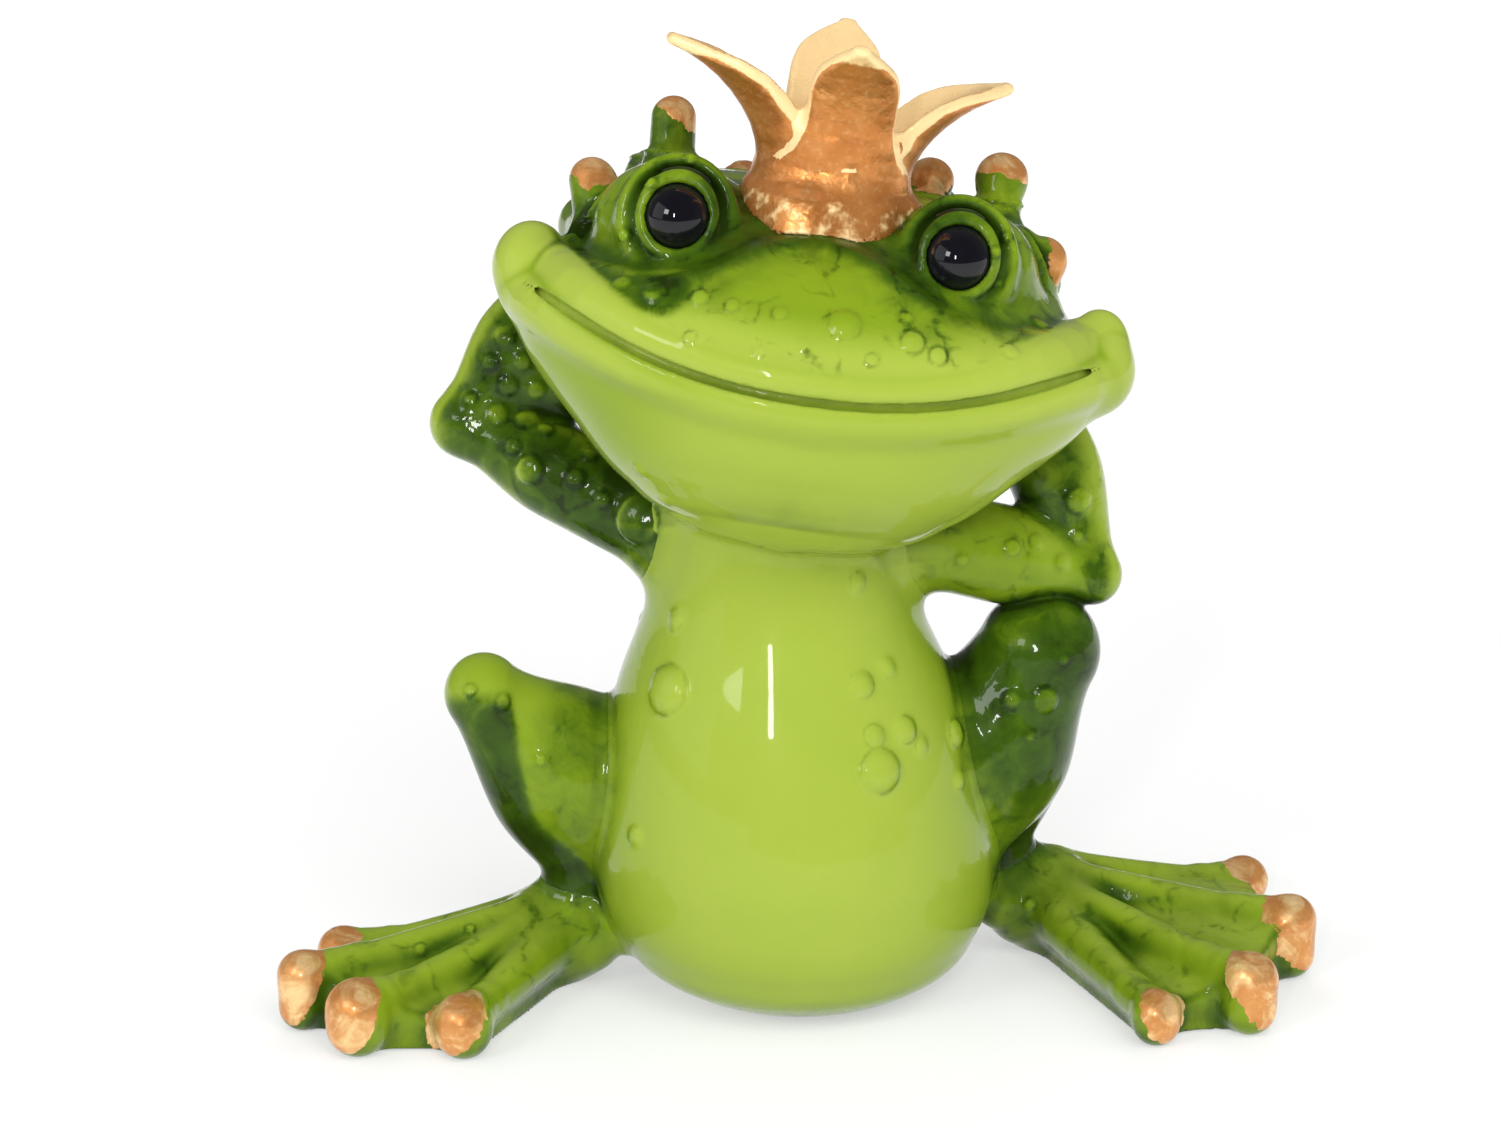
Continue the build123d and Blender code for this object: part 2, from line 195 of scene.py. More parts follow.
# Torso: rows of height and radius
TORSO_ROWS = (
    (-3.0, 0.5), (-1.5, 7.5), (0.0, 12.2), (2.5, 16.9), (7.0, 20.3), (14.8, 22.0),
    (24.8, 20.8), (34.1, 18.4), (43.5, 14.7), (55.0, 12.2), (57.0, 11.9),
)
TORSO_HEIGHT = 55.0
TORSO_SLOPE_REACH = 0.3
NECK_LEAN = 2.6
NECK_TOP = 56.5
NECK_ROUNDING = 1.0


def torso_field(points):
    x = points[:, 0] + NECK_LEAN * points[:, 2] / TORSO_HEIGHT
    spread = np.hypot(x, points[:, 1])
    z = points[:, 2]
    above = table(z + TORSO_SLOPE_REACH, TORSO_ROWS, 1)
    below = table(z - TORSO_SLOPE_REACH, TORSO_ROWS, 1)
    slope = (above - below) / (2 * TORSO_SLOPE_REACH)
    side = (spread - table(z, TORSO_ROWS, 1)) / np.sqrt(1 + slope * slope)
    return meet(side, z - NECK_TOP, NECK_ROUNDING)


# Head: rows of height, half width, front and back, in the head's frame
HEAD_ROWS = (
    (-25.2, 3.0, -9.0, 5.0), (-24.6, 6.5, -11.5, 7.5), (-23.2, 11.4, -15.0, 9.6),
    (-20.0, 17.2, -18.6, 11.2), (-14.4, 23.5, -22.0, 13.2), (-8.0, 29.4, -24.1, 15.0),
    (-3.0, 31.6, -23.6, 16.0), (1.0, 28.6, -21.2, 16.5), (4.0, 26.2, -18.6, 16.7),
    (7.0, 24.4, -15.9, 16.6), (9.5, 22.4, -12.6, 16.0), (11.3, 20.4, -8.8, 15.4),
    (13.0, 17.5, -3.5, 13.5), (14.2, 13.0, 0.5, 11.0), (14.9, 7.5, 3.0, 8.5), (15.1, 3.0, 4.5, 7.0),
)
HEAD_SLOPE_REACH = 0.4
HEAD_ROUNDING = 1.5
# Crease between the snout and the eyes: across, and height
CREASE_ROWS = (
    (-34.0, 8.0), (-27.5, 3.8), (-22.6, 1.6), (-17.0, 0.9), (-12.2, 2.0), (-7.0, 5.4), (-1.0, 7.4),
    (5.0, 5.8), (8.5, 4.2), (12.0, 1.9), (18.0, 0.4), (23.3, 1.4), (27.5, 3.8), (34.0, 8.0),
)
CREASE_WIDTH = 0.8
FOREHEAD_SINK = 0.5
SNOUT_RISE = 0.35
MOUTH_HALF_WIDTH = 30.8
MOUTH_MIDDLE = -9.9
MOUTH_SAG = 9.4
MOUTH_POWER = 2.2
MOUTH_PAST_SHARE = 1.2
MOUTH_POINTS = 27
MOUTH_ACROSS = np.sin(np.linspace(-math.pi / 2, math.pi / 2, MOUTH_POINTS))
MOUTH_SHARES = np.abs(MOUTH_ACROSS)
CHEEK_SHARE = 0.985
# Lips: radius in the middle and its gain at the corner, lift in the middle and at the corner,
# how far they stand proud of the skull, and the blend into it
Lip = namedtuple("Lip", "radius gain lift corner_lift proud blend")
UPPER_LIP = Lip(1.55, 1.25, 1.75, 2.5, 0.75, 1.6)
LOWER_LIP = Lip(1.35, 0.95, -1.6, -2.0, 0.45, 2.2)
CORNER_PROUD = 0.9
LIP_CORNER = {RIGHT: np.array([-30.4, -5.6, 0.5]), LEFT: np.array([30.3, -5.6, -1.7])}
LIP_CORNER_RADII = np.array([3.6, 4.6, 4.2])
LIP_CORNER_BLEND = 2.0
# Space in front of the head where the lips are worked out: back, top, bottom and reach
LIP_SPACE = (6, 12, -20, 8)
GROOVE_PROUD = 0.15
GROOVE_RADII = 0.55 - 0.7 * MOUTH_SHARES ** 12
GROOVE_BLEND = 0.4
EYE_SHIFT = -0.9
EYE_HALF_SPACING = 14.5
EYE_FORWARD = 14.4
EYE_HEIGHT = 7.1
EYE_RADIUS = 3.5
EYE_CLEARANCE = 0.05
MOUND_HALF_SPACING = 14.8
MOUND_PLACE = (-6.9, 6.5)
MOUND_RADII = np.array([8.4, 8.0, 7.0])
MOUND_BLEND = 2.2
# Rings round an eye: radius, thickness, squeeze across and place in front of the bead's middle
LID = (4.05, 0.78, 1.12, 0.9)
LID_BLEND = 0.5
FOLD = (6.0, 0.7, 1.08, -1.2)
FOLD_BLEND = 1.4


def skull_section(z):
    """Half width, middle and half depth of the skull at a height."""
    width, front, back = (table(z, HEAD_ROWS, column) for column in (1, 2, 3))
    return width, (front + back) / 2, (back - front) / 2


def skull(local):
    """Plain head: ellipses stacked by height."""
    x, y, z = local.T
    width, middle, depth = skull_section(z)
    fx, fy = x / width, (y - middle) / depth
    outer = np.hypot(fx, fy)
    inner = np.hypot(fx / width, fy / depth)
    side = outer * (outer - 1) / np.maximum(inner, TINY)
    above, below = z + HEAD_SLOPE_REACH, z - HEAD_SLOPE_REACH
    changes = [table(above, HEAD_ROWS, i) - table(below, HEAD_ROWS, i) for i in (1, 2)]
    slope = np.abs(changes).max(0) / (2 * HEAD_SLOPE_REACH)
    side = side / np.sqrt(1 + slope * slope)
    return meet(side, np.maximum(z - HEAD_ROWS[-1][0], HEAD_ROWS[0][0] - z), HEAD_ROUNDING)


def mouth_height(x):
    share = np.clip(np.abs(x) / MOUTH_HALF_WIDTH, 0, MOUTH_PAST_SHARE)
    return MOUTH_MIDDLE + MOUTH_SAG * share ** MOUTH_POWER


def mouth_line(lift, corner_lift, sink):
    """Points along the mouth on the skull, lifted above it and sunk into it."""
    x = MOUTH_HALF_WIDTH * MOUTH_ACROSS
    lift = lift + (corner_lift - lift) * MOUTH_SHARES ** 3
    z = MOUTH_MIDDLE + MOUTH_SAG * MOUTH_SHARES ** MOUTH_POWER + lift
    width, middle, depth = skull_section(z)
    inset = np.clip(np.abs(x) / width, 0, CHEEK_SHARE)
    y = middle - depth * np.sqrt(1 - inset ** 2)
    outward = np.stack([x / width ** 2, (y - middle) / depth ** 2, np.zeros_like(x)], 1)
    outward /= length(outward)[:, None]
    return np.stack([x, y, z], 1) - outward * sink[:, None]


def lip_tube(lip):
    """Centres and radii of a lip."""
    radii = lip.radius + lip.gain * MOUTH_SHARES ** 3
    sink = radii - lip.proud - CORNER_PROUD * MOUTH_SHARES ** 3
    return mouth_line(lip.lift, lip.corner_lift, sink), radii


LIPS = {lip: lip_tube(lip) for lip in (UPPER_LIP, LOWER_LIP)}
GROOVE = mouth_line(0.0, 0.0, -GROOVE_PROUD - CORNER_PROUD * MOUTH_SHARES ** 3)


def eye_place(side):
    return np.array([EYE_SHIFT + side * EYE_HALF_SPACING, -EYE_FORWARD, EYE_HEIGHT])


def eye_ring(local, side, radius, thickness, squeeze, forward):
    """Ring round an eye, in the plane that faces forward."""
    x, y, z = (local - eye_place(side)).T
    return np.hypot(np.hypot(x * squeeze, z) - radius, y + forward) - thickness


def head_field(points):
    local = to_head(points)
    x, y, z = local.T
    forward = ramp(-y, 0, 6)
    above = ramp(z - table(x, CREASE_ROWS, 1), -CREASE_WIDTH, CREASE_WIDTH) * forward
    plate = ramp(z - mouth_height(x), -1, 2) * forward - above
    field = skull(local) + FOREHEAD_SINK * above - SNOUT_RISE * plate
    for side in (RIGHT, LEFT):
        mound = np.array([EYE_SHIFT + side * MOUND_HALF_SPACING, *MOUND_PLACE])
        field = union(field, ellipsoid(local, mound, MOUND_RADII), MOUND_BLEND)
    back, top, bottom, reach = LIP_SPACE
    near = (y < back) & (z < top) & (z > bottom) & (field < reach)
    close, face = local[near], field[near]
    for lip, (centres, radii) in LIPS.items():
        face = union(face, tube(close, centres, radii), lip.blend)
    for side in (RIGHT, LEFT):
        face = union(face, ellipsoid(close, LIP_CORNER[side], LIP_CORNER_RADII), LIP_CORNER_BLEND)
    field[near] = cut(face, tube(close, GROOVE, GROOVE_RADII), GROOVE_BLEND)
    for side in (RIGHT, LEFT):
        field = union(field, eye_ring(local, side, *FOLD), FOLD_BLEND)
        field = union(field, eye_ring(local, side, *LID), LID_BLEND)
        socket = sphere(local, eye_place(side), EYE_RADIUS + EYE_CLEARANCE)
        field = np.maximum(field, -socket)
    return field


# Limb joints, shared by arms, legs, hands and feet
SHOULDER = {RIGHT: np.array([-16.0, 1.4, 52.0]), LEFT: np.array([11.9, 1.4, 50.6])}
ELBOW = {RIGHT: np.array([-36.4, 7.9, 61.2]), LEFT: np.array([31.5, 4.0, 45.2])}
WRIST = {RIGHT: from_head(-25.4, 14.4, 2.6), LEFT: from_head(22.6, 15.4, -1.0)}
PALM = {RIGHT: from_head(-19.0, 15.6, 6.6), LEFT: from_head(18.0, 15.6, 6.6)}
HIP = {RIGHT: np.array([-16.2, 4.0, 14.0]), LEFT: np.array([14.8, 4.0, 14.0])}
KNEE = {RIGHT: np.array([-34.3, -3.0, 34.2]), LEFT: np.array([25.9, 2.0, 37.2])}
HUB = {RIGHT: np.array([-25.7, -0.4, 4.8]), LEFT: np.array([26.6, 8.6, 4.8])}
ANKLE = {RIGHT: np.array([-23.2, -0.4, 10.4]), LEFT: np.array([22.2, 8.4, 10.6])}

# Arms: radii at the start, middle and end of the upper arm and of the forearm
ARM_RADII = {RIGHT: ((5.2, 5.2, 3.3), (3.5, 5.5, 3.6)), LEFT: ((5.3, 5.4, 2.9), (3.1, 5.2, 3.4))}
ARM_BLEND = {RIGHT: 2.0, LEFT: 1.6}
# Skin that fills the bend of the right arm, against the head's side
FILL_START = ELBOW[RIGHT] + np.array([2, 0.8, 1])
FILL_END = np.array([-22.5, 9.5, 66.5])
FILL_RADII = (2.6, 3.8, 4.6)


def arm_parts(points, side):
    """Upper arm and forearm."""
    upper_radii, lower_radii = ARM_RADII[side]
    upper = limb(points, SHOULDER[side], ELBOW[side], *upper_radii)
    return upper, limb(points, ELBOW[side], WRIST[side], *lower_radii)


def arm_field(points, side):
    field = union(*arm_parts(points, side), ARM_BLEND[side])
    if side == LEFT:
        return field
    return union(field, limb(points, FILL_START, FILL_END, *FILL_RADII), ARM_BLEND[side])


# Hands: palms, and fingers with their knuckle, bend and tip in the head's frame, the radii of
# body and tip, and where the tip's gold faces
WRIST_RADII = (3.0, 3.9, 4.2)
PALM_RADII = np.array([6.6, 3.4, 6.0])
PALM_BLEND = 2.0
FINGER_SWELL = (0.4, 0.3, 0.2)
FINGER_NECK = 0.45
FINGER_BLENDS = (2.4, 1.6, 1.2)
Finger = namedtuple("Finger", "knuckle bend tip body end gold")
FINGERS = {
    RIGHT: (
        Finger((-19.0, 11.5, 12.6), (-17.2, 2.6, 12.6), (-17.8, 3.2, 18.7), 2.9, 2.4, (0.4, -0.2, 0.9)),
        Finger((-25.0, 8.8, 6.5), (-23.2, -2.6, 4.6), (-25.2, -0.8, 10.6), 3.0, 2.45, (0.2, -0.5, 0.8)),
        Finger((-12.4, 14.0, 11.6), (-11.0, 13.0, 12.6), (-9.5, 12.0, 13.8), 2.1, 2.4, (0.0, 0.0, 1.0)),
        Finger((-24.0, 13.2, 1.5), (-25.0, 12.0, -0.5), (-26.0, 10.5, -2.5), 2.1, 2.4, (-0.4, -0.5, -0.7)),
    ),
    LEFT: (
        Finger((17.8, 11.4, 12.0), (17.6, 0.2, 11.0), (17.5, 2.0, 17.3), 2.7, 2.85, (0.1, -0.1, 1.0)),
        Finger((22.6, 9.0, 7.6), (20.0, -3.4, 9.2), (22.9, -2.6, 9.1), 2.6, 2.5, (1.0, -0.1, 0.1)),
        Finger((12.4, 13.8, 12.6), (11.4, 10.6, 13.8), (10.2, 7.0, 16.4), 2.3, 2.6, (0.0, -0.6, 0.8)),
        Finger((22.5, 13.4, 1.0), (24.0, 12.2, -0.8), (25.0, 11.0, -2.5), 2.1, 2.4, (0.4, -0.5, -0.7)),
    ),
}


def hand_field(points, side):
    local = to_head(points)
    palm = to_head(PALM[side])
    field = limb(local, to_head(WRIST[side]), palm, *WRIST_RADII)
    field = union(field, ellipsoid(local, palm, PALM_RADII), PALM_BLEND)
    for finger in FINGERS[side]:
        body = finger.body
        root = [body + swell for swell in FINGER_SWELL]
        parts = (
            limb(local, palm, finger.knuckle, *root),
            limb(local, finger.knuckle, finger.bend, root[-1], body, body),
            limb(local, finger.bend, finger.tip, body, body - FINGER_NECK, finger.end),
        )
        for part, blend in zip(parts, FINGER_BLENDS):
            field = union(field, part, blend)
    return field


# Legs: radii of the thigh at its hip, middle and knee, and of the shin at its top, middle and ankle
THIGH_RADII = {RIGHT: (7.0, 8.9, 4.2), LEFT: (7.0, 9.4, 6.7)}
SHIN_RADII = {RIGHT: (3.9, 5.1, 2.8), LEFT: (3.9, 5.4, 2.9)}
SHIN_SHIFT = np.array([0, -0.9, -0.5])
LEG_BLEND = 0.8


def leg_parts(points, side):
    """Thigh and shin."""
    thigh = limb(points, HIP[side], KNEE[side], *THIGH_RADII[side])
    return thigh, limb(points, KNEE[side] + SHIN_SHIFT, ANKLE[side], *SHIN_RADII[side])


def leg_field(points, side):
    return union(*leg_parts(points, side), LEG_BLEND)


# Feet: each toe's length from the hub, angle forward from straight out, tip radius, height of the
# tip's upper middle, and height and radius of its ridge's root
Toe = namedtuple("Toe", "reach angle radius height root thick")
TOES = {
    RIGHT: (
        Toe(25.0, -1.7, 2.7, 2.4, 9.2, 2.1), Toe(31.4, 27.1, 2.65, 6.0, 8.8, 2.0),
        Toe(30.0, 44.1, 3.4, 4.8, 7.6, 2.2), Toe(23.9, 64.5, 3.1, 3.7, 6.2, 3.4),
    ),
    LEFT: (
        Toe(27.5, -26.3, 2.8, 2.5, 9.4, 2.1), Toe(29.0, 18.2, 2.8, 6.5, 8.6, 2.0),
        Toe(32.5, 48.5, 2.95, 5.9, 7.4, 2.1), Toe(29.6, 67.6, 2.55, 3.2, 5.6, 3.2),
    ),
}
TOE_LIFT_SHARE = 0.9
TOE_BLEND = 1.6
TIP_SHARE = 0.97
TIP_NECK_SHARES = (0.8, 0.9)
TIP_NECK_BLEND = 1.0
RIDGE_POWER = {RIGHT: 1.3, LEFT: 1.2}
RIDGE_SHARES = np.linspace(0.1, 0.8, 6)
RIDGE_RADIUS = 1.6
RIDGE_BLEND = 1.5
HUB_RISE = np.array([0, 0, 1.0])
HUB_RADII = np.array([5.6, 5.6, 5.8])
HEEL = {RIGHT: np.array([5.5, -2.2, 1.8]), LEFT: np.array([-4.5, -3.0, 1.5])}
HEEL_RADII = (4.6, 3.9, 3.0)
HEEL_BLEND = 2.5
WEB_REACH_SHARE = 0.97
WEB_INSET = 0.9
WEB_RECESS = {RIGHT: 1.0, LEFT: 0.7}
WEB_EDGE = 1.0
WEB_ROUNDING = 1.5
WEB_TOP_ROUNDING = 1.2
WEB_BLEND = 2.0
VALLEY_DEPTH = 1.1
VALLEY_START = (3, 10)


def toe_tip(side, toe):
    """Lower and upper middle of a toe's tip."""
    turn = math.radians(toe.angle)
    ground = HUB[side] + toe.reach * np.array([side * math.cos(turn), -math.sin(turn), 0])
    ground[2] = 0
    return ground + np.array([0, 0, toe.radius * TOE_LIFT_SHARE]), ground + np.array([0, 0, toe.height])


def ridge_height(side, share, root, tip):
    return tip + (root - tip) * (1 - np.clip(share, 0, 1)) ** RIDGE_POWER[side]


def web_field(points, side):
    """Web between the toes: a fan that slopes down from the hub, with a valley between the ridges."""
    flat = (points - HUB[side])[:, :2]
    spread = length(flat)
    angle = np.degrees(np.arctan2(-flat[:, 1], side * flat[:, 0]))
    toes = TOES[side]
    angles = [toe.angle for toe in toes]
    columns = ([toe.reach for toe in toes], [toe.root for toe in toes], [toe.height for toe in toes])
    whole, root, tip = (np.interp(angle, angles, column) for column in columns)
    between = np.interp(angle, angles, range(len(toes)))
    valley = np.sin(np.pi * (between % 1.0)) ** 2
    line = ridge_height(side, spread / whole, root, tip)
    top = line + WEB_RECESS[side] - VALLEY_DEPTH * valley * ramp(spread, *VALLEY_START)
    over = np.radians(np.maximum(angles[0] - angle, angle - angles[-1]))
    edge = np.where(np.abs(over) < np.pi / 2, spread * np.sin(over), spread)
    rim = spread - whole * WEB_REACH_SHARE + WEB_INSET * valley
    fan = meet(rim, edge - WEB_EDGE, WEB_ROUNDING)
    return meet(fan, points[:, 2] - top, WEB_TOP_ROUNDING)


def foot_field(points, side):
    hub = HUB[side]
    body = ellipsoid(points, hub + HUB_RISE, HUB_RADII)
    body = union(body, limb(points, hub, hub + HEEL[side], *HEEL_RADII), HEEL_BLEND)
    field = union(body, web_field(points, side), WEB_BLEND)
    for toe in TOES[side]:
        low, high = toe_tip(side, toe)
        way = hub + RIDGE_SHARES[:, None] * (high - hub)
        way[:, 2] = ridge_height(side, RIDGE_SHARES, toe.root, toe.height)
        radii = np.linspace(toe.thick, RIDGE_RADIUS, len(way))
        field = union(field, tube(points, way, radii), RIDGE_BLEND)
        tip = limb(points, low, high, toe.radius, toe.radius, TIP_SHARE * toe.radius)
        neck_radii = [share * toe.radius for share in TIP_NECK_SHARES]
        neck = limb(points, way[-1], high, RIDGE_RADIUS, *neck_radii)
        field = union(field, union(tip, neck, TIP_NECK_BLEND), TOE_BLEND)
    return field


# Crown: a collar and four petals, each a bent sheet, in the crown's frame
CROWN_ORIGIN = from_head(-0.4, -6.3, 11.9)
CROWN_TURN = HEAD_TURN @ turn_x(math.radians(12))
CROWN_CLEARANCE = 0.12
COLLAR_LINE = np.array(
    [(9.5, -3.6), (9.1, -1.4), (8.7, 0.2), (7.8, 1.4), (7.1, 3.4), (7.2, 5.4), (7.5, 6.6)]
)
COLLAR_THICKNESS = 1.7
# Ragged skirt of the collar: waves as height, count and start, and where they fade out
SKIRT_WAVES = ((0.35, 3, 1), (0.22, 7, 2))
SKIRT_FADE = (-0.5, 3.0)
# Petals: turn about the crown's axis, reach, height, start angle, width, tip shift and cup
Petal = namedtuple("Petal", "turn reach height start width shift cup")
PETALS = (
    Petal(-81.0, 14.0, 16.8, 6.0, 9.9, -1.1, 8.0), Petal(101.0, 14.2, 16.9, 6.0, 10.3, -2.1, 9.0),
    Petal(10.0, 17.0, 13.7, 20.0, 11.5, 0.0, 4.8), Petal(198.0, 19.0, 14.6, 20.0, 12.0, 0.0, 4.8),
)
# Outline of a petal: share of the way along it, and share of its width
PETAL_SHARES = (
    (0.0, 1.45), (0.15, 1.13), (0.3, 0.96), (0.5, 0.93), (0.68, 0.9), (0.8, 0.77), (0.9, 0.5),
    (1.0, 0.2),
)
PETAL_STEPS = 9
PETAL_ROOT = 3.4
PETAL_ROOT_RADIUS = 6.6
PETAL_THICKNESS = 2.1
PETAL_TAPER = 0.42
PETAL_ROUNDING = 0.8
PETAL_BLEND = 1.2


def petal_line(petal):
    """Outline of a petal's middle in its radial plane."""
    rise, run = petal.height - PETAL_ROOT, petal.reach - PETAL_ROOT_RADIUS
    start = math.radians(petal.start)
    sweep = 2 * (math.atan2(run, rise) - start)
    bend = math.hypot(run, rise) / (2 * math.sin(sweep / 2))
    angle = start + sweep * np.linspace(0, 1, PETAL_STEPS)
    radius = PETAL_ROOT_RADIUS + bend * (math.cos(start) - np.cos(angle))
    level = PETAL_ROOT + bend * (np.sin(angle) - math.sin(start))
    return np.stack([radius, level], 1)


PETAL_LINES = {petal: petal_line(petal) for petal in PETALS}


def sheet(flat, line, thickness):
    """Distance to a bent sheet in a radial plane, and how far along it the nearest place is."""
    best = np.full(len(flat), FAR)
    along = np.zeros(len(flat))
    for index, (a, b) in enumerate(zip(line[:-1], line[1:])):
        share, away = along_axis(flat, a, b)
        closer = away < best
        best = np.where(closer, away, best)
        along = np.where(closer, index + share, along)
    return best - thickness / 2, along / (len(line) - 1)


def petal_parts(local, petal):
    """A petal's sheet and outline distances, the way along it, and how far out each point is."""
    c, s = math.cos(math.radians(petal.turn)), math.sin(math.radians(petal.turn))
    out = local[:, 0] * c + local[:, 1] * s
    across = -local[:, 0] * s + local[:, 1] * c
    curl = out + across * across / (2 * petal.cup)
    flat = np.stack([curl, local[:, 2]], 1)
    body, along = sheet(flat, PETAL_LINES[petal], PETAL_THICKNESS)
    half = table(along, PETAL_SHARES, 1) * petal.width / 2
    side = np.abs(across - petal.shift * along ** 3) - half
    return body + PETAL_TAPER * along, side, along, out


def crown_field(points):
    local = (points - CROWN_ORIGIN) @ CROWN_TURN
    around = np.arctan2(local[:, 1], local[:, 0])
    ragged = sum(size * np.sin(count * around + start) for size, count, start in SKIRT_WAVES)
    spread = np.hypot(local[:, 0], local[:, 1]) - ragged * (1 - ramp(local[:, 2], *SKIRT_FADE))
    field, _ = sheet(np.stack([spread, local[:, 2]], 1), COLLAR_LINE, COLLAR_THICKNESS)
    for petal in PETALS:
        body, side, _, out = petal_parts(local, petal)
        leaf = np.where(out > 0, meet(body, side, PETAL_ROUNDING), FAR)
        field = union(field, leaf, PETAL_BLEND)
    return np.maximum(field, -(head_field(points) + CROWN_CLEARANCE))


# Castings: each one's field, and the neighbours that it blends into with the blend's width
def by_casting(torso, head, **limbs):
    """The function of each casting, by the casting's name."""
    found = {"torso": torso, "head": head}
    for side, name in SIDES:
        found.update({f"{kind}_{name}": partial(made, side=side) for kind, made in limbs.items()})
    return found


FIELDS = by_casting(
    torso_field, head_field, arm=arm_field, hand=hand_field, leg=leg_field, foot=foot_field
)
JOINS = (
    ("torso", "head", 1.6), ("torso", "arm_right", 5.0), ("torso", "arm_left", 4.0),
    ("torso", "leg_right", 2.2), ("torso", "leg_left", 2.2), ("torso", "foot_right", 2.2),
    ("torso", "foot_left", 2.2), ("head", "arm_right", 0.8), ("head", "arm_left", 0.8),
    ("head", "hand_right", 2.2), ("head", "hand_left", 2.2), ("arm_right", "hand_right", 2.0),
    ("arm_left", "hand_left", 2.0), ("arm_left", "leg_left", 0.6), ("leg_right", "foot_right", 3.5),
    ("leg_left", "foot_left", 3.5),
)
JOIN_REACH = 9.0
# Neighbours lap by SEAM_LAP beyond the plane half way between them, where the skin sinks a little
SEAM_LAP = 0.45
SEAM_SINK = 0.5


def node_box(node):
    low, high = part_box(node)
    return np.array(low) / MM, np.array(high) / MM


BOXES = {name: node_box(name) for name in FIELDS}


def neighbours(name):
    """The castings that a casting blends into, each with the blend's width."""
    return [(b if a == name else a, blend) for a, b, blend in JOINS if name in (a, b)]


def near_field(name, points, margin):
    """A casting's field near its own box, and the distance to that box elsewhere."""
    low, high = BOXES[name]
    values = length(np.maximum(np.maximum(low - points, points - high), 0))
    inside = values < margin
    if inside.any():
        values[inside] = FIELDS[name](points[inside])
    return values


def figure_field(points):
    """The whole figure but its crown and eyes."""
    return np.min([near_field(name, points, JOIN_REACH) for name in FIELDS], axis=0)


# Droplets cast on the skin: each one's place in the photograph and its radius, in pixels
DROPLETS = (
    (668, 690, 25), (676, 620, 10), (635, 836, 9), (861, 685, 13), (887, 667, 9), (874, 736, 11),
    (905, 730, 13), (880, 771, 22), (955, 733, 14), (959, 780, 9), (857, 582, 9), (921, 745, 8),
    (655, 560, 9), (845, 325, 16), (700, 298, 9), (732, 306, 7), (655, 292, 13), (622, 284, 10),
    (912, 342, 12), (938, 356, 9), (872, 360, 6), (780, 314, 7), (1010, 352, 9), (1040, 325, 10),
    (690, 338, 6), (805, 345, 5), (760, 352, 5), (905, 318, 7), (505, 338, 10), (490, 362, 8),
    (522, 362, 9), (508, 386, 10), (536, 390, 9), (498, 414, 11), (527, 420, 12), (513, 446, 8),
    (530, 470, 14), (575, 478, 9), (640, 520, 24), (602, 500, 8), (1078, 500, 13), (1012, 548, 8),
    (1036, 541, 7), (1062, 562, 7), (1078, 536, 6), (962, 560, 6), (1012, 700, 9), (1045, 700, 14),
    (1030, 737, 6), (1064, 660, 6), (502, 702, 8), (541, 760, 6), (470, 690, 6), (1030, 905, 6),
    (420, 950, 6), (470, 930, 5), (651, 183, 6), (624, 235, 6), (690, 159, 6), (738, 166, 8),
    (805, 231, 6), (820, 235, 5), (598, 215, 5), (996, 252, 5), (997, 283, 5), (1007, 237, 5),
    (566, 240, 6), (640, 470, 8), (665, 500, 6), (590, 455, 7), (470, 400, 7), (545, 430, 8),
)
# Droplets on the back, drawn at random: how many, seed, direction in half turns, height, radius,
# where their rays start and the travel that misses the figure
HIDDEN_DROPLETS = 34
HIDDEN_SEED = 7
HIDDEN_TURN_SHARES = (0.1, 0.9)
HIDDEN_HEIGHTS = (8, 96)
HIDDEN_RADII = (0.5, 1.5)
HIDDEN_START = 90
HIDDEN_MISS = 120
# Height of a droplet's dome as a share of its radius, its blend, and how far it reaches
DOME_SHARE = 0.42
DOME_BLEND = 0.35
DOME_REACH = 1.5
DOME_DEPTH = 2.5
MARCH_STEPS = 90
MARCH_PACE = 0.7


def pixel_rays(pixels):
    """Directions of pixels of the photograph from the camera, and its focal length in pixels."""
    c, s = math.cos(CAMERA_RISE), math.sin(CAMERA_RISE)
    focus = CAMERA_LENS / SENSOR_WIDTH * PHOTO_WIDTH
    across = (pixels[:, 0] - PHOTO_WIDTH / 2) / focus
    rise = (PHOTO_HEIGHT / 2 - pixels[:, 1]) / focus
    ahead, up = np.array([0, c, -s]), np.array([0, s, c])
    rays = ahead + across[:, None] * np.array([1, 0, 0]) + rise[:, None] * up
    return rays / length(rays)[:, None], focus


def march(starts, rays):
    """Travel along rays to the figure's skin."""
    travel = np.zeros(len(starts))
    for _ in range(MARCH_STEPS):
        travel += MARCH_PACE * figure_field(starts + travel[:, None] * rays)
    return travel


def seen_droplets():
    pixels = np.array(DROPLETS, float)
    rays, focus = pixel_rays(pixels)
    travel = march(np.repeat(CAMERA_PLACE[None], len(rays), 0), rays)
    return CAMERA_PLACE + travel[:, None] * rays, pixels[:, 2] / focus * travel


def hidden_droplets():
    draw = np.random.default_rng(HIDDEN_SEED)
    turn = draw.uniform(*HIDDEN_TURN_SHARES, HIDDEN_DROPLETS) * math.pi
    level = draw.uniform(*HIDDEN_HEIGHTS, HIDDEN_DROPLETS)
    radii = draw.uniform(*HIDDEN_RADII, HIDDEN_DROPLETS)
    outward = np.stack([np.cos(turn), np.sin(turn), np.zeros(HIDDEN_DROPLETS)], 1)
    starts = outward * HIDDEN_START
    starts[:, 2] = level
    travel = march(starts, -outward)
    found = travel < HIDDEN_MISS
    return (starts - outward * travel[:, None])[found], radii[found]


